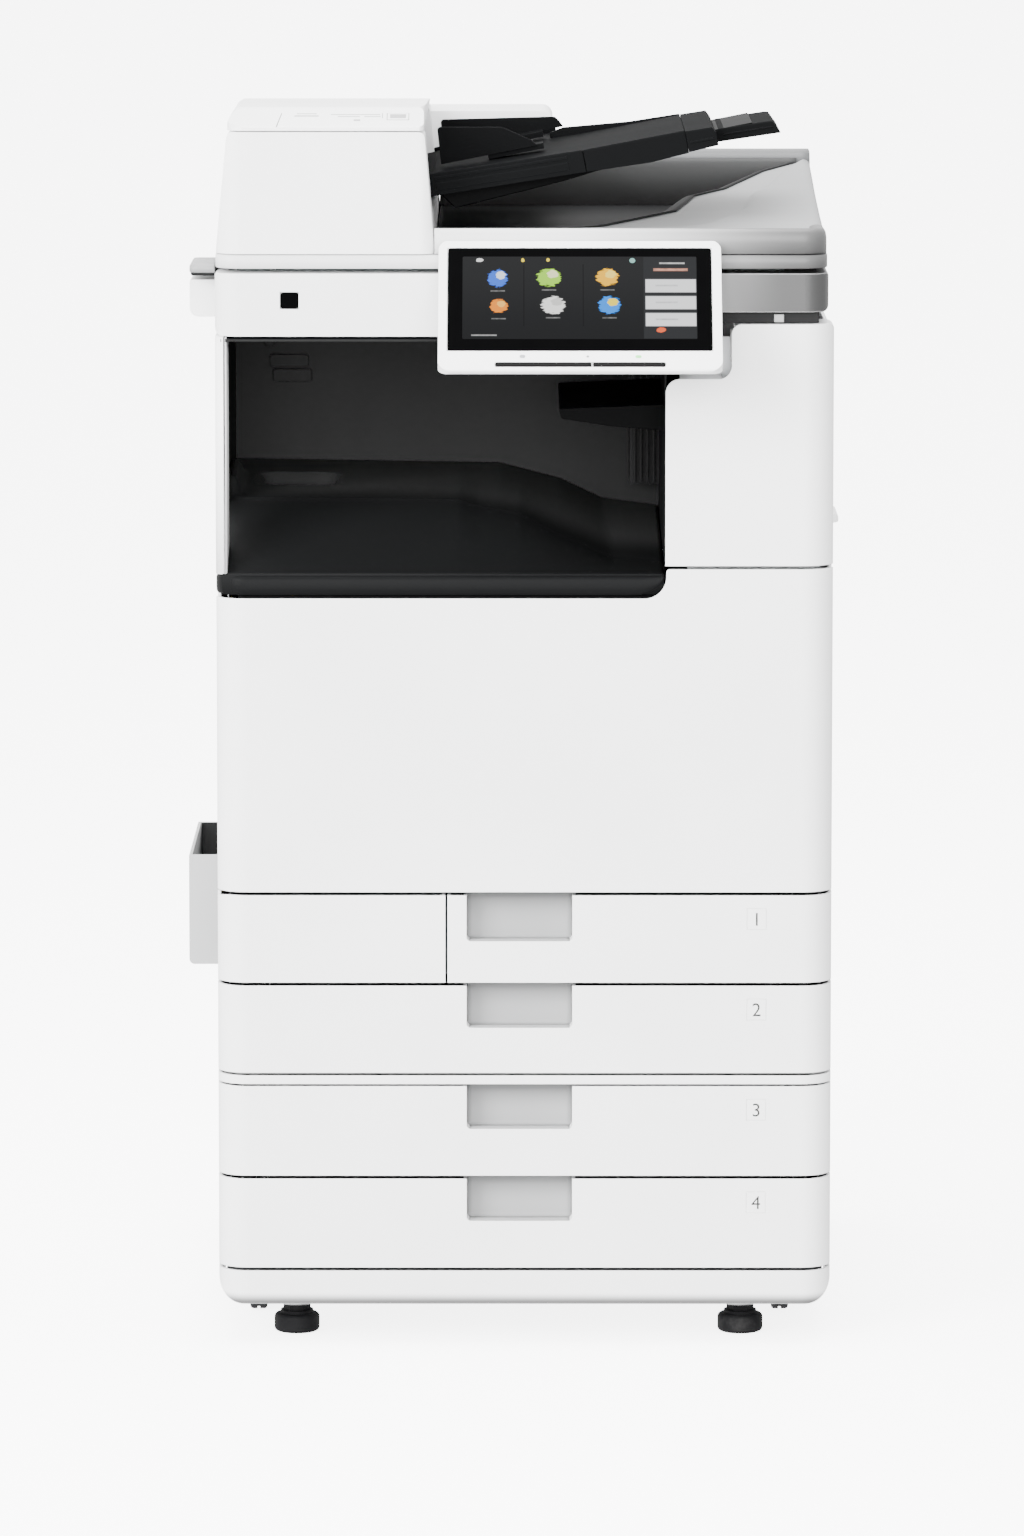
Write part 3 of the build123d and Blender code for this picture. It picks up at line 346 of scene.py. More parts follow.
softbox("key", (-3.6, -4.4, 2.8), (0, 0, 0.7), 3.0, 3.0, 840)
softbox("front", (0.2, -6.4, 1.9), (0, 0, 0.6), 4.0, 3.0, 650)
softbox("top", (0.0, 0.4, 4.2), (0, 0, 0.8), 3.0, 3.0, 270)


def soft_sky():
    """Even white light from all round: strength 2.3 - 0.8 x + 0.9 z along the unit direction (x, y, z)."""
    world = bpy.data.worlds.new("studio")
    world.use_nodes = True
    tree = world.node_tree
    lean = tree.nodes.new("ShaderNodeVectorMath")
    lean.operation = "DOT_PRODUCT"
    lean.inputs[1].default_value = (-0.8, 0.0, 0.9)
    tree.links.new(tree.nodes.new("ShaderNodeTexCoord").outputs["Generated"], lean.inputs[0])
    level = tree.nodes.new("ShaderNodeMath")
    level.inputs[1].default_value = 2.3
    tree.links.new(lean.outputs["Value"], level.inputs[0])
    tree.links.new(level.outputs[0], tree.nodes["Background"].inputs["Strength"])
    tree.nodes["Background"].inputs["Color"].default_value = (1.0, 1.0, 1.0, 1.0)
    bpy.context.scene.world = world


soft_sky()


def surface(name, points, materials, smooth=True, close_u=False, close_v=False, caps=False):
    """Mesh from a grid of points (rows, columns, 3): each cell of the grid is one face."""
    rows, cols = points.shape[:2]
    index = np.arange(rows * cols).reshape(rows, cols)
    if close_u:
        index = np.vstack([index, index[:1]])
    if close_v:
        index = np.hstack([index, index[:, :1]])
    faces = np.stack([index[:-1, :-1], index[:-1, 1:], index[1:, 1:], index[1:, :-1]], -1).reshape(-1, 4)
    faces = [tuple(f) for f in faces.tolist()]
    if caps:
        faces.append(tuple(index[0, :cols].tolist()))
        faces.append(tuple(index[-1, :cols][::-1].tolist()))
    mesh = bpy.data.meshes.new(name)
    mesh.from_pydata(points.reshape(-1, 3).tolist(), [], faces)
    mesh.validate()
    mesh.polygons.foreach_set("use_smooth", [smooth] * len(mesh.polygons))
    for material in materials:
        mesh.materials.append(material)
    piece = bpy.data.objects.new(name, mesh)
    bpy.context.scene.collection.objects.link(piece)
    return piece


# ------------------------------------------------------------------ floor

FLAT_FLOOR = 30                                 # radius of the level part, metres
FLOOR_EDGE = 70


def floor():
    """Studio floor: a round bowl, level out to 30 m, then rising as 0.02 (r - 30)^2 with the distance r."""
    turns = np.linspace(0, 2 * math.pi, 64, endpoint=False)
    turn, out = np.meshgrid(turns, np.linspace(0.01, FLOOR_EDGE, 71), indexing="ij")
    rise = 0.02 * np.clip(out - FLAT_FLOOR, 0, None) ** 2
    grid = np.stack([MIDDLE + out * np.cos(turn), out * np.sin(turn), rise - 0.0002], -1)
    finish = Finish("studio_floor", Emission_Strength=5.0)
    cloud = finish.noise(0.6, 2.0)
    finish.colour(finish.mix(cloud, grey(0.84), grey(0.86)))
    finish.rough(0.8 + cloud * 0.1)
    finish.feed(finish.shader.inputs["Emission Color"], finish.mix(cloud, grey(0.98), grey(1.0)))
    piece = surface("floor", grid, [finish.material], close_u=True)
    for hidden_from in ("visible_diffuse", "visible_glossy", "visible_transmission", "visible_shadow"):
        setattr(piece, hidden_from, False)


floor()

# ------------------------------------------------------------------ shape helpers


def metres(x, y, z):
    """Machine millimetres (x from the middle, y from the front face, z from the floor) to the frame."""
    return np.stack(np.broadcast_arrays(x / 1000 + MIDDLE, y / 1000 + FRONT, z / 1000), -1)


def smooth(t):
    """Smooth step: 0 below 0, 1 above 1, an S between."""
    t = np.clip(t, 0, 1)
    return t * t * (3 - 2 * t)


def bedded(name, x, y, z, bottom, material, body, node):
    """Solid under a height field: the top is z over the grid of x and y, its sides drop to a flat bottom."""
    top = metres(x, y, z)
    first = metres(x[:, :1], y[:, :1], np.full_like(x[:, :1], bottom))
    last = metres(x[:, -1:], y[:, -1:], np.full_like(x[:, :1], bottom))
    piece = surface(name, np.concatenate([first, top, last], 1), [material], close_v=True, caps=True)
    return finish_piece(piece, body, node)


def finish_piece(piece, body, node):
    """Turns faces outwards, ties the piece to its body and hides the CAD nodes it stands for."""
    mesh = bmesh.new()
    mesh.from_mesh(piece.data)
    bmesh.ops.recalc_face_normals(mesh, faces=mesh.faces)
    mesh.to_mesh(piece.data)
    mesh.free()
    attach(piece, body)
    for each in node or []:
        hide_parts(each)
    return piece


def rounded_loop(x0, x1, y0, y1, radii, steps):
    """Closed rectangle outline with a quarter circle of its own radius at each corner, as two arrays."""
    turns = np.linspace(0, math.pi / 2, steps)
    xs, ys = [], []
    corners = [(x0, y0, 1, 1), (x1, y0, -1, 1), (x1, y1, -1, -1), (x0, y1, 1, -1)]
    for k, (cx, cy, sx, sy) in enumerate(corners):
        r = radii[k]
        start = math.pi * (1 + k * 0.5)
        xs.append(cx + sx * r + r * np.cos(start + turns))
        ys.append(cy + sy * r + r * np.sin(start + turns))
    return np.concatenate(xs), np.concatenate(ys)


def stacked(name, levels, material, body, node, steps=10):
    """Solid whose outline changes with height: each level is (z, x0, x1, y0, y1, corner radii)."""
    rings = []
    for z, x0, x1, y0, y1, radii in levels:
        xs, ys = rounded_loop(x0, x1, y0, y1, radii, steps)
        rings.append(metres(xs, ys, np.full_like(xs, z)))
    piece = surface(name, np.stack(rings), [material], close_v=True, caps=True)
    return finish_piece(piece, body, node)


def swept(name, path, profile, material, body, node):
    """Profile (across the path to its left, z up) carried along a level path; its ends are capped."""
    path = np.asarray(path, float)
    way = np.gradient(path, axis=0)
    way /= np.linalg.norm(way, axis=1)[:, None]
    left = np.stack([-way[:, 1], way[:, 0]], 1)
    profile = np.asarray(profile, float)
    x = path[:, :1] + left[:, :1] * profile[None, :, 0]
    y = path[:, 1:] + left[:, 1:] * profile[None, :, 0]
    z = np.broadcast_to(profile[None, :, 1], x.shape)
    piece = surface(name, metres(x, y, z), [material], close_v=True, caps=True)
    return finish_piece(piece, body, node)


# ------------------------------------------------------------------ output tray


def output_tray():
    """Delivery tray as a height field: a slope 713 + (edge - 713)(0.55 t + 0.45 smooth(t)) up from the front,
    then a plateau that runs off to the right, with a finger hollow and a raised rib at its left."""
    across = np.linspace(-276, 127, 130)
    along = np.concatenate([np.linspace(3.5, 150, 60), np.linspace(152, 398, 60)])
    y, x = np.meshgrid(along, across, indexing="ij")
    rear = np.interp(x, [-276, -24, 34, 74, 127], [780, 776, 761, 742, 735])
    edge = np.interp(x, [-276, -60, -42, -4, 33, 80, 127], [769, 768, 762, 755, 737, 717, 715])
    reach = np.interp(x, [-276, 0, 127], [140, 130, 90])
    t = np.clip((y - 3.5) / reach, 0, 1)
    slope = 713 + (edge - 713) * (0.55 * t + 0.45 * smooth(t))
    back = edge + (rear - edge) * np.clip((y - reach) / (398 - reach), 0, 1) ** 0.8
    z = np.where(y < reach, slope, back)
    grip = np.hypot(np.clip(np.abs(x + 212) - 22, 0, None), np.clip(np.abs(y - 262) - 28, 0, None))
    z = z - 14 * smooth((16 - grip) / 7)
    z = z + 16 * smooth((x + 262) / -8) * smooth((y - 140) / 30) * smooth((330 - y) / 60)
    z = np.clip(z, 696, 799)
    bedded("output_tray_bed", x, y, z, 694.2, TRAY, "cabinet", ["output_tray"])


def tray_lip():
    """Front lip of the output tray: a rounded bar round the left corner that curls up at its right end."""
    turn = np.linspace(math.pi, 1.5 * math.pi, 14)
    corner = np.stack([-254.5 + 28 * np.cos(turn), 28 + 28 * np.sin(turn)], 1)
    side = np.stack([np.full(6, -282.5), np.linspace(60, 30, 6)], 1)
    along = np.concatenate([np.linspace(-250, 95, 30), np.linspace(97, 127.3, 26)])
    front = np.stack([along, np.zeros(56)], 1)
    path = np.concatenate([side, corner, front])
    lift = np.clip((path[:, 0] - 99.3) / 28, 0, 1)
    base = 693.2 + 18.3 * (1 - np.sqrt(1 - lift ** 2 + 1e-9)) * 0.98
    way = np.gradient(path, axis=0)
    way /= np.linalg.norm(way, axis=1)[:, None]
    inward = np.stack([-way[:, 1], way[:, 0]], 1)
    depth = np.array([0.0, 0.0, 1.2, 4.0, 14.0, 14.0, 5.0, 1.4, 0.2])
    height = np.array([0.35, 0.8, 0.95, 1.0, 1.0, 0.0, 0.0, 0.04, 0.14])
    x = path[:, :1] + inward[:, :1] * depth
    y = path[:, 1:] + inward[:, 1:] * depth
    z = base[:, None] + (711.6 - base)[:, None] * height
    piece = surface("output_tray_lip", metres(x, y, z), [LIP], close_v=True, caps=True)
    finish_piece(piece, "cabinet", None)


output_tray()
tray_lip()

# ------------------------------------------------------------------ lid with the document exit


def lid_plate():
    """Lid floor: a flat plate with rounded upright corners and softened edges."""
    levels = []
    for z, inset in ((992.3, 1.2), (993.2, 0.2), (1003.8, 0.2), (1004.8, 1.2)):
        levels.append((z, -282 + inset, 276 - inset, inset, 560 - inset, (22, 22, 5, 5)))
    stacked("lid_floor", levels, LID_GREY, "lid", ["lid_base"])


def exit_recess():
    """Two functions of the depth y: where the exit floor meets the end deck, and how high that deck is."""
    depths = [20, 60, 100, 200, 290, 330, 420, 474]
    edge = [-76, 10, 72, 141, 160, 190, 229, 262]
    deck = [1026, 1027, 1029, 1036, 1044, 1048, 1059, 1064]
    return lambda y: np.interp(y, depths, edge), lambda y: np.interp(y, depths, deck)


def exit_deck():
    """Silver end deck: a ruled sheet from the recess edge out to the right side, stepped along its length."""
    edge_at, deck_at = exit_recess()
    y, u = np.meshgrid(np.linspace(20, 474, 150), np.linspace(0, 1, 60), indexing="ij")
    x0 = edge_at(y)
    x = x0 + (275 - x0) * u
    z = deck_at(y) - 3 * (1 - u) - 2.5 * smooth((0.5 - u) / 0.04) * smooth((y - 60) / 40)
    z = z - 9 * (1 - np.sqrt(1 - np.clip((x - 266) / 9, 0, 1) ** 2 + 1e-9))
    bedded("exit_end_deck", x, y, z, 1004.9, SILVER, "lid", None)


def exit_floor():
    """Dark exit floor: it dips away from the feeder and climbs in a rounded bank to meet the end deck."""
    edge_at, deck_at = exit_recess()
    y, u = np.meshgrid(np.linspace(22, 474, 120), np.linspace(0, 1, 70), indexing="ij")
    x1 = edge_at(y)
    x = -81 + (x1 + 81) * u
    bank = smooth((x - x1 + 46) / 44)
    z = 1013 + (deck_at(y) - 4 - 1013) * bank + 5 * smooth((y - 250) / 200) * (1 - bank)
    ridge = np.exp(-((y - 150 - 0.25 * x) / 16) ** 2) * smooth((x + 20) / 60) * (1 - bank)
    z = z + 5 * ridge
    bedded("exit_floor", x, y, z, 1005.0, EXIT, "lid", ["exit_liner"])


def lid_front_lip():
    """Rounded lip along the front of the exit, turning the right corner."""
    turn = np.linspace(1.5 * math.pi, 2 * math.pi, 12)
    front = np.stack([np.linspace(-82, 250, 60), np.full(60, 0.3)], 1)
    corner = np.stack([253 + 22 * np.cos(turn), 22.3 + 22 * np.sin(turn)], 1)
    side = np.stack([np.full(10, 275.0), np.linspace(30, 60, 10)], 1)
    profile = [(0, 1006), (0, 1020), (0.8, 1024.5), (3, 1027.6), (7, 1028.8), (12, 1028), (20, 1024),
               (21, 1006)]
    path = np.concatenate([front, corner, side])
    swept("lid_front_lip", path, profile, LID_GREY, "lid", None)


def lid_rear_wall():
    """Rear wall behind the exit: a rounded bar across the lid, with a thin grey panel on its front."""
    along = np.stack([np.linspace(-82, 275, 40), np.full(40, 474.0)], 1)
    profile = [(0, 1006), (0, 1056), (1.5, 1063), (6, 1067.5), (14, 1069.5), (50, 1069.5), (76, 1065),
               (84, 1056), (85.5, 1040), (85.5, 1006)]
    swept("lid_rear_wall", along, profile, REAR_WALL, "lid", None)
    along = np.stack([np.linspace(-81, 262, 40), np.full(40, 469.5)], 1)
    profile = [(0, 1006), (0, 1054), (0.8, 1059), (3, 1062.5), (6.5, 1063.5), (6.5, 1006)]
    swept("exit_back_panel", along, profile, EXIT_BACK, "lid", None)


def lid_lift_lip():
    """Finger lip under the left edge of the lid, with a black strip under it as painted shade."""
    levels = []
    for z, inset in ((985.2, 1.6), (986.4, 0.4), (991.4, 0.4), (993.4, 2.0)):
        levels.append((z, -307 + inset, -283.2, 41 + inset, 129 - inset, (6, 1, 1, 6)))
    stacked("lid_lift_lip", levels, LIFT, "lid", None)
    # painted shade: black strip under the lift lip, for the shadow in the gap below it
    levels = [(983.0, -305, -283.2, 42, 128, (5, 1, 1, 5)), (985.4, -305.6, -283.2, 41.6, 128, (5, 1, 1, 5))]
    stacked("lid_lift_lip_painted_shade", levels, BAY, "lid", None)
    levels = [(z, -283.6, -279, 44, 126, (1,) * 4) for z in (992.3, 993.4)]
    stacked("lid_lift_lip_root", levels, LIFT, "lid", None)


HINGE_Y, HINGE_Z = 582, 984                     # axis of the lid's hinge pins
HINGE_HALF = 12                                 # half the width of a hinge arm


def hinge_arms():
    """Two hinge arms: a bar with a rolled barrel round the hinge pin."""
    around = np.linspace(0, 2 * math.pi, 40, endpoint=False)
    for side, x in (("left", -200.0), ("right", 180.0)):
        rings = []
        for across, radius in ((-HINGE_HALF, 4.1), (-HINGE_HALF, 9.0), (HINGE_HALF, 9.0), (HINGE_HALF, 4.1)):
            rings.append(metres(np.full(40, x + across), HINGE_Y + radius * np.cos(around),
                                HINGE_Z + radius * np.sin(around)))
        barrel = surface(f"hinge_barrel_{side}", np.stack(rings), [STEEL], close_u=True, close_v=True)
        finish_piece(barrel, "lid", None)
        levels = [(z, x - HINGE_HALF, x + HINGE_HALF, 552, 589, (2,) * 4) for z in (992.4, 997)]
        stacked(f"hinge_strap_{side}", levels, STEEL, "lid", None)


lid_plate()
exit_deck()
exit_floor()
lid_front_lip()
lid_rear_wall()
lid_lift_lip()
hinge_arms()

# ------------------------------------------------------------------ control panel

TILT = math.radians(42.0)                       # the panel's face leans back by this much
PANEL_TOP = (-6.0, 1019.0)                      # y and z of the face's top edge, mm


def on_panel(a, b, c):
    """Panel face to the frame: a along the width, b down from the top edge, c out of the face (mm)."""
    y = PANEL_TOP[0] - b * math.sin(TILT) - c * math.cos(TILT)
    z = PANEL_TOP[1] - b * math.cos(TILT) + c * math.sin(TILT)
    return metres(np.asarray(a, float), y, z)


def face_patch(name, a0, a1, b0, b1, c, material):
    """Thin rounded plate on the panel face, with its own 0 to 1 map across and down for the drawing."""
    xs, ys = rounded_loop(a0, a1, b0, b1, (1.5,) * 4, 6)
    rings = [on_panel(xs * s + (a0 + a1) / 2 * (1 - s), ys * s + (b0 + b1) / 2 * (1 - s), h)
             for s, h in ((1.0, c - 0.25), (1.0, c))]
    piece = surface(name, np.stack(rings), [material], smooth=False, close_v=True, caps=True)
    layer = piece.data.uv_layers.new(name="face")
    mesh = piece.data
    co = np.zeros(len(mesh.vertices) * 3)
    mesh.vertices.foreach_get("co", co)
    co = co.reshape(-1, 3)
    a = (co[:, 0] - MIDDLE) * 1000
    b = (PANEL_TOP[1] - co[:, 2] * 1000 + c * math.sin(TILT)) / math.cos(TILT)
    which = np.zeros(len(mesh.loops), int)
    mesh.loops.foreach_get("vertex_index", which)
    uv = np.stack([(a[which] - a0) / (a1 - a0), (b[which] - b0) / (b1 - b0)], 1)
    layer.data.foreach_set("uv", uv.ravel())
    return finish_piece(piece, "panel", None)


def touch_screen():
    """Lit home screen: dark columns, six soft round pictures, a list of pale boxes and small status marks."""
    finish = Finish("touch_screen_picture", Roughness=0.2, Specular_IOR_Level=0.015,
                    Emission_Strength=1.6)
    uv = finish.add("ShaderNodeUVMap", uv_map="face").outputs[0]
    split = finish.add("ShaderNodeSeparateXYZ", {"Vector": uv})
    u = Field(finish, split.outputs[0]) * 233.0
    v = Field(finish, split.outputs[1]) * 83.0
    wobble = finish.add("ShaderNodeTexNoise", {"Vector": uv, "Scale": 40.0, "Detail": 2.0})
    jitter = Field(finish, wobble.outputs["Fac"]) - 0.5

    def box(x0, x1, y0, y1):
        inside_x = (u - (x0 + x1) / 2).size() - (x1 - x0) / 2
        inside_y = (v - (y0 + y1) / 2).size() - (y1 - y0) / 2
        return inside_x.most(inside_y).ramp(0.6, -0.6)

    def blob(x, y, rx, ry, ragged=1.6):
        dx = (u - x) / rx
        dy = (v - y) / ry
        return (dx * dx + dy * dy + jitter * ragged).ramp(1.1, 0.75)

    colour = finish.mix(v.ramp(83, 0), (0.009, 0.0095, 0.0105, 1), (0.016, 0.0165, 0.0175, 1))
    for x in (61.0, 120.0):
        colour = finish.mix(box(x - 0.4, x + 0.4, 8, 70) * 0.8, colour, (0.003, 0.003, 0.0035, 1))
    colour = finish.mix(box(180, 232.5, 0.5, 82.5), colour, (0.022, 0.023, 0.025, 1))
    pictures = [
        (35, 22, 10, 9, (0.05, 0.16, 0.75, 1), (0.75, 0.8, 0.9, 1)),
        (86, 21, 12, 9, (0.35, 0.72, 0.05, 1), (0.85, 0.85, 0.5, 1)),
        (144, 21, 11, 9, (0.95, 0.5, 0.02, 1), (0.98, 0.75, 0.15, 1)),
        (36, 50, 9, 7, (0.85, 0.25, 0.02, 1), (0.95, 0.5, 0.1, 1)),
        (90, 49, 12, 9, (0.85, 0.85, 0.83, 1), (0.6, 0.6, 0.58, 1)),
        (146, 49, 11, 9, (0.02, 0.25, 0.85, 1), (0.9, 0.7, 0.05, 1)),
    ]
    for x, y, rx, ry, main, accent in pictures:
        colour = finish.mix(blob(x, y, rx, ry), colour, main)
        colour = finish.mix(blob(x + rx * 0.3, y - ry * 0.35, rx * 0.5, ry * 0.45), colour, accent)
        caption = box(x - 7, x + 7, y + 12.2, y + 13.2) * (0.35 + jitter)
        colour = finish.mix(caption, colour, (0.5, 0.5, 0.5, 1))
    for top in (23.0, 40.0, 57.0):
        colour = finish.mix(box(182, 232, top, top + 13), colour, (0.78, 0.79, 0.8, 1))
        colour = finish.mix(box(192, 214, top + 5.5, top + 7) * (0.5 + jitter), colour, (0.3, 0.3, 0.32, 1))
    colour = finish.mix(box(196, 221, 6, 7.4) * (0.8 + jitter), colour, (0.6, 0.6, 0.6, 1))
    colour = finish.mix(box(190, 224, 12, 14.5) * (0.7 + jitter), colour, (0.75, 0.35, 0.25, 1))
    colour = finish.mix(blob(197, 74, 5, 2.6), colour, (0.8, 0.12, 0.04, 1))
    colour = finish.mix(blob(17, 3.5, 4, 2), colour, (0.75, 0.75, 0.75, 1))
    colour = finish.mix(blob(60, 3.5, 1.8, 2), colour, (0.9, 0.7, 0.05, 1))
    colour = finish.mix(blob(85, 3.5, 1.8, 2), colour, (0.9, 0.7, 0.05, 1))
    colour = finish.mix(blob(169, 4, 3, 2.6, 0.6), colour, (0.25, 0.5, 0.45, 1))
    colour = finish.mix(box(9, 34, 78.6, 79.8) * (0.6 + jitter), colour, (0.5, 0.5, 0.5, 1))
    finish.colour(finish.mix(0.98, colour, (0.0, 0.0, 0.0, 1)))
    finish.feed(finish.shader.inputs["Emission Color"], colour)
    face_patch("touch_screen_picture", -56.2, 155.6, 19.6, 113.2, 0.86, finish.material)


def bezel_marks():
    """Three small printed status marks below the glass."""
    finish = Finish("bezel_mark_ink", Roughness=0.5)
    spread = finish.noise(900.0, 2.0)
    finish.colour(finish.mix(spread, (0.16, 0.17, 0.18, 1), (0.3, 0.31, 0.32, 1)))
    green = Finish("bezel_mark_green", Roughness=0.5)
    glow = green.noise(900.0, 2.0)
    green.colour(green.mix(glow, (0.1, 0.5, 0.12, 1), (0.25, 0.7, 0.25, 1)))
    face_patch("bezel_mark_left", -4.5, 0.5, 130.5, 134.0, 0.3, finish.material)
    face_patch("bezel_mark_middle", 55.5, 58.0, 131.2, 133.6, 0.3, finish.material)
    face_patch("bezel_mark_right", 99.5, 105.0, 131.0, 134.0, 0.3, green.material)


touch_screen()
bezel_marks()

# ------------------------------------------------------------------ drawer numerals and small marks


DRAWER_TOPS = {1: 416.5, 2: 332.5, 3: 239.0, 4: 152.5}
NUMERAL_X = 213.1
NUMERAL_DROP = 22                               # middle of the numeral below the drawer's top edge


def numeral(number, z_top):
    """Drawer number: a generic numeral cut from a flat curve, made a thin mesh."""
    text = bpy.data.curves.new(f"drawer_numeral_{number}", "FONT")
    text.body = str(number)
    text.size = 0.0175
    text.extrude = 0.0001
    text.align_x = "CENTER"
    text.align_y = "CENTER"
    holder = bpy.data.objects.new(f"numeral_curve_{number}", text)
    bpy.context.scene.collection.objects.link(holder)
    bpy.context.view_layer.update()
    mesh = bpy.data.meshes.new_from_object(holder)
    bpy.data.objects.remove(holder)
    co = np.zeros(len(mesh.vertices) * 3)
    mesh.vertices.foreach_get("co", co)
    co = co.reshape(-1, 3)
    middle = (co.min(0) + co.max(0)) / 2
    place = np.stack([co[:, 0] - middle[0] + MIDDLE + NUMERAL_X / 1000, -co[:, 2] + FRONT - 0.00002,
                      co[:, 1] - middle[1] + (z_top - NUMERAL_DROP) / 1000], 1)
    mesh.vertices.foreach_set("co", place.ravel())
    mesh.materials.clear()
    mesh.materials.append(INK)
    piece = bpy.data.objects.new(f"drawer_numeral_{number}", mesh)
    bpy.context.scene.collection.objects.link(piece)
    finish_piece(piece, f"drawer_{number}", None)


def printed_ink():
    """Dark printed ink, slightly uneven."""
    finish = Finish("printed_dark_ink", Roughness=0.45)
    spread = finish.noise(1200.0, 2.0)
    finish.colour(finish.mix(spread, (0.003, 0.003, 0.003, 1), (0.008, 0.008, 0.008, 1)))
    return finish.material


INK = printed_ink()
for number, top in DRAWER_TOPS.items():
    numeral(number, top)


# ------------------------------------------------------------------ document tray


FEEDER_MOUTH = (-84, 1062)                      # x and z where the document tray starts
TRAY_SLOPE = math.radians(11.3)


def prism(name, side, y0, y1, material, body, node, soften=0.0008):
    """Straight piece along y with the given side outline of (x, z) corners; its edges are rounded over."""
    side = np.asarray(side, float)
    rings = [metres(side[:, 0], np.full(len(side), y), side[:, 1]) for y in (y0, y1)]
    piece = surface(name, np.stack(rings), [material], smooth=False, close_v=True, caps=True)
    finish_piece(piece, body, node)
    bevel = piece.modifiers.new("rounded_edges", "BEVEL")
    bevel.width = soften
    bevel.segments = 3
    bevel.limit_method = "ANGLE"
    bevel.angle_limit = math.radians(25)
    return piece


def on_tray(points):
    """Document tray side outline: (along the tray, up from it) turned by its slope about the feeder mouth."""
    along, up = np.asarray(points, float).T
    return np.stack([FEEDER_MOUTH[0] + along * math.cos(TRAY_SLOPE) - up * math.sin(TRAY_SLOPE),
                     FEEDER_MOUTH[1] + along * math.sin(TRAY_SLOPE) + up * math.cos(TRAY_SLOPE)], 1)


def document_tray():
    """Document tray: bed, deep front wall in two lengths, rear wall, nose and an underside darkened as
    painted shade.
    """
    parts = {                                   # name: side outline, near y, far y, finish
        "bed": ([(2, 12.2), (140, 6.3), (236, 5.5), (236, -1), (2, -1)], 66, 334, FEED_BLACK),
        "wide_end": ([(2, 12.0), (118, 7.1), (118, -1), (2, -1)], 332, 419, FEED_BLACK),
        "front_wall": ([(-2, -7.6), (-1, 13.2), (140.6, 7.2), (140.6, -13.4)], 60.6, 66.5, FEED_BLACK),
        "front_end": ([(141.3, -13.4), (141.3, 7.0), (236, 6.3), (236, -14.6), (200, -16.4)], 61, 66.5,
                      FEED_BLACK),
        "front_panel": ([(3, -3.6), (3, 4.0), (126, -1.2), (126, -9.0)], 60.0, 61.5, FEED_BLACK),
        "front_rail": ([(3, 6.6), (3, 9.8), (126, 4.6), (126, 1.4)], 60.0, 61.5, FEED_BLACK),
        "rear_wall": ([(0, -2), (0, 15), (117, 14.6), (118, 13), (118, -2)], 414, 420, FEED_BLACK),
        "back_wall": ([(112, -2), (112, 13), (126, 15), (188, 8.2), (236, 6.2), (236, -2)], 328, 334,
                      FEED_BLACK),
        "nose": ([(-13, 9), (-13, 11.8), (6, 11.8), (6, 6)], 82, 408, FEED_BLACK),
        "underside": ([(5, 6), (5, -8), (16, -23.6), (118, -18.8), (150, -15.6), (236, -12.4), (236, -0.6)],
                      81, 329, FEED_DARK),
    }
    for name, (side, y0, y1, material) in parts.items():
        node = ["document_tray"] if name == "bed" else None
        prism(f"document_tray_{name}", on_tray(side), y0, y1, material, "feed_tray", node)


def tray_end():
    """Slide-out end of the document tray: body, front rail, ridged grip and the plate it runs on."""
    parts = {
        "body": ([(236.3, -14), (236.3, 5.4), (261, 4.4), (264, -2), (264, -13)], 61, 334, FEED_BLACK),
        "front_rail": ([(239, -6.5), (239, -4.0), (261, -4.6), (261, -7.1)], 60.2, 62, FEED_BLACK),
        "grip": ([(262, -14.3), (262, -4), (268, -2.6), (314, -4.7), (318, -5.6), (323.3, -17.3)], 130, 290,
                 FEED_BLACK),
        "grip_ridge": ([(270, -9.2), (270, -7.4), (316, -9.4), (318, -11.2)], 129, 131, FEED_BLACK),
        "plate": ([(299, -6.2), (299, -2.8), (152, -2.8), (152, -6.2)], 131, 289, FEED_DARK),
    }
    for name, (side, y0, y1, material) in parts.items():
        node = ["tray_extension"] if name == "grip" else None
        prism(f"tray_end_{name}", on_tray(side), y0, y1, material, "tray_end", node)


document_tray()
tray_end()

# ------------------------------------------------------------------ small details


def turned(name, centre, profile, material, body):
    """Ring turned about an upright axis: the profile of (radius, z) is carried once round."""
    around = np.linspace(0, 2 * math.pi, 48, endpoint=False)
    radius, z = np.asarray(profile, float).T
    x = centre[0] + radius[:, None] * np.cos(around)
    y = centre[1] + radius[:, None] * np.sin(around)
    piece = surface(name, metres(x, y, z[:, None]), [material], close_v=True, caps=True)
    return finish_piece(piece, body, None)


def foot_nuts():
    """Bright steel collar with a lock nut above each rubber foot."""
    profile = [(12.0, 24.8), (12.9, 25.2), (12.9, 30.4), (12.0, 31.0), (10.4, 31.2), (10.4, 34.6)]
    for side, x in (("left", -211.4), ("right", 200.3)):
        turned(f"foot_collar_{side}", (x, 54.0), profile, STEEL, f"foot_{side}")


RECESS_FLOORS = {1: 374.0, 2: 293.5, 3: 199.2, 4: 113.2}


def recess_liners():
    """Grey strip on the back and floor of each drawer's finger recess, painted with the shade of the recess:
    a bent strip carried across.
    """
    for number, low in RECESS_FLOORS.items():
        high = DRAWER_TOPS[number]
        across = np.stack([np.linspace(-52.9, 43.6, 20), np.zeros(20)], 1)
        bend = np.linspace(0, math.pi / 2, 6)
        curve = [(18.9 + 4 * np.sin(a), low + 4.4 - 4 * np.cos(a)) for a in bend]
        profile = [(0.6, low + 0.05), (0.6, low + 0.4)] + curve
        profile += [(22.9, high - 0.4), (23.9, high - 0.4), (23.9, low + 0.05)]
        name = f"finger_recess_shade_{number}"
        swept(name, across, profile, RECESS, f"drawer_{number}", None)


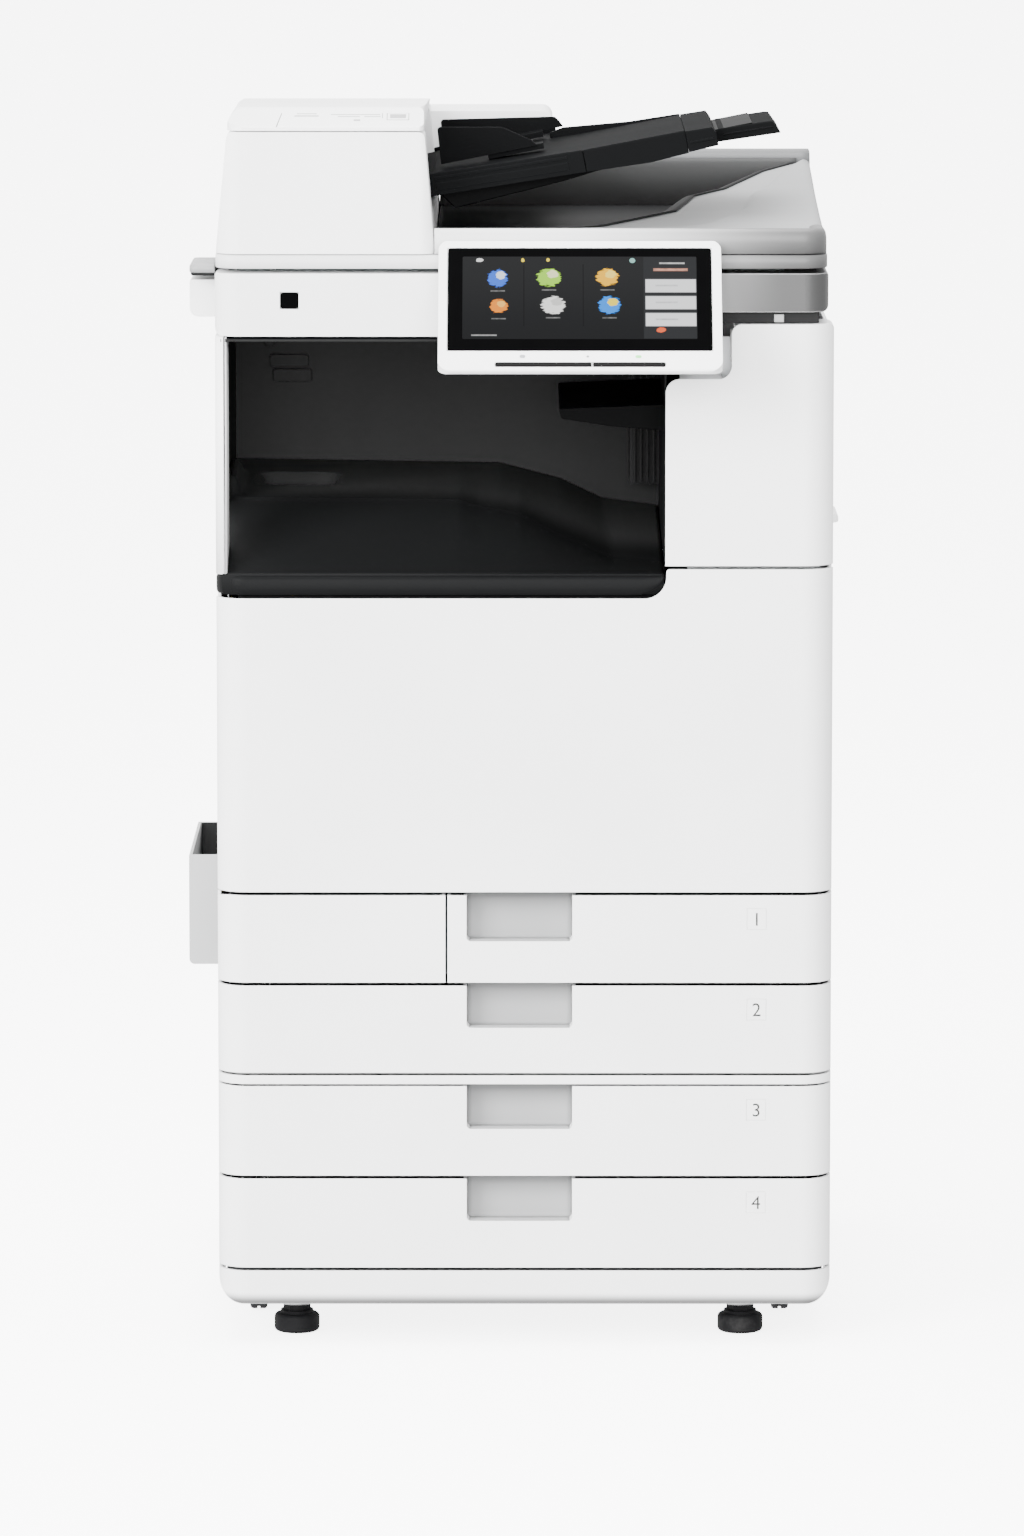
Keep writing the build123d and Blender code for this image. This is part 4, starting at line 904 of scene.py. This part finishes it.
def pocket_lining():
    """Dark lining of the left pocket: an open-topped box with thin walls."""
    rings = []
    for inset, z in ((0, 335.1), (0, 434.6), (0.8, 434.6), (0.8, 336.0)):
        xs, ys = rounded_loop(-309.9 + inset, -282.6 - inset, 133.1 + inset, 343.9 - inset, (2.0,) * 4, 4)
        rings.append(metres(xs, ys, np.full_like(xs, z)))
    piece = surface("pocket_lining", np.stack(rings), [BAY], close_v=True, caps=True)
    finish_piece(piece, "cabinet", None)


def bay_edge():
    """White upright edge at the left of the output bay, rounded at its front."""
    levels = [(z, -282.2, -271.5, 3.5, 58, (9, 3, 1, 1)) for z in (712.6, 929.8)]
    stacked("bay_left_edge", levels, WHITE, "cabinet", None)


FACET_LOW = (1.0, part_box("feeder_cover")[0].z * 1000 + 4.0)     # y and z of the facet's lower edge
FACET_HIGH = (48.0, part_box("feeder_cover")[1].z * 1000)
FACET_OUT = (-0.31, 0.95)                       # y and z of the way out of the facet


def facet_mark(name, left, right, low, high, material):
    """Thin print on the feeder's front facet: left and right are x at the low and high ends of the mark (mm);
    low and high are shares of the way up the facet."""
    corners = []
    for lift in (-0.3, 0.12):                   # sunk in a little, so no gap shows under the print
        for share, x in ((low, left[0]), (low, right[0]), (high, right[1]), (high, left[1])):
            y = FACET_LOW[0] + share * (FACET_HIGH[0] - FACET_LOW[0]) + lift * FACET_OUT[0]
            z = FACET_LOW[1] + share * (FACET_HIGH[1] - FACET_LOW[1]) + lift * FACET_OUT[1]
            corners.append((x, y, z))
    x, y, z = np.asarray(corners).reshape(2, 4, 3).transpose(2, 0, 1)
    piece = surface(name, metres(x, y, z), [material], smooth=False, close_v=True, caps=True)
    return finish_piece(piece, "feeder_lid", None)


def feeder_marks():
    """Generic printed guide pictures on the feeder cover, and its upright seam."""
    facet_mark("feeder_cover_seam", (-225.6, -220.2), (-224.8, -219.4), 0.0, 0.9, INK)
    bars = [(-209.5, -187.5, 0.50, 0.56), (-207.5, -189.5, 0.62, 0.66), (-176.5, -131.5, 0.58, 0.62),
            (-170, -150, 0.48, 0.52), (-146, -131, 0.48, 0.52), (-155.5, -149.5, 0.28, 0.36),
            (-129.8, -129.0, 0.42, 0.68)]
    frame_bars = [(-125.5, -105.0, 0.32, 0.35), (-125.5, -105.0, 0.66, 0.69), (-125.5, -124.7, 0.32, 0.69),
                  (-105.8, -105.0, 0.32, 0.69), (-122.5, -108.0, 0.42, 0.62)]
    for count, (x0, x1, low, high) in enumerate(bars + frame_bars):
        facet_mark(f"feeder_print_{count + 1}", (x0, x0), (x1, x1), low, high, PRINT)


BAY_BACK = 399.6                                # y of the output bay's back wall


def cover_gap_shade():
    """Dark strip under the tray lip that closes the view into the machine above the front cover."""
    levels = [(z, -262, 127, 17.2, 19.2, (0.5,) * 4) for z in (684.6, 692.9)]
    stacked("cover_gap_shade", levels, BAY, "cabinet", None, 3)


def bay_screws():
    """Two small domed screws in the back wall of the output bay: rings about a level axis."""
    around = np.linspace(0, 2 * math.pi, 32, endpoint=False)
    radius, out = np.array([(3.4, 0.6), (3.4, 0.0), (3.0, -0.5), (1.9, -0.9), (0.9, -0.95), (0.6, -0.3)]).T
    for place, x, z, finish in (("upper", -244.0, 892.0, BAY), ("lower", -217.5, 860.0, LIP)):
        rings = metres(x + radius[:, None] * np.cos(around), BAY_BACK + out[:, None] + 0 * around,
                       z + radius[:, None] * np.sin(around))
        piece = surface(f"bay_screw_{place}", rings, [finish], close_v=True, caps=True)
        finish_piece(piece, "cabinet", None)


def neck_band():
    """Painted shade: a black recessed band for the shadow in the gap between the scanner and the right cover,
    with a small grey catch in it.
    """
    band = [(130, 942.4), (130, 952.2), (268, 952.2), (268, 942.4)]
    # painted shade: black band for the shadow in the gap under the scanner
    prism("neck_painted_shade_band", band, 8, 11, BAY, "cabinet", None, 0.0004)
    catch = [(227, 943.4), (227, 950.6), (236, 950.6), (236, 943.4)]
    prism("neck_catch", catch, 4.5, 8, UNIT_GREY, "cabinet", None, 0.0006)


cover_gap_shade()
bay_screws()
neck_band()
foot_nuts()
recess_liners()
pocket_lining()
bay_edge()
feeder_marks()
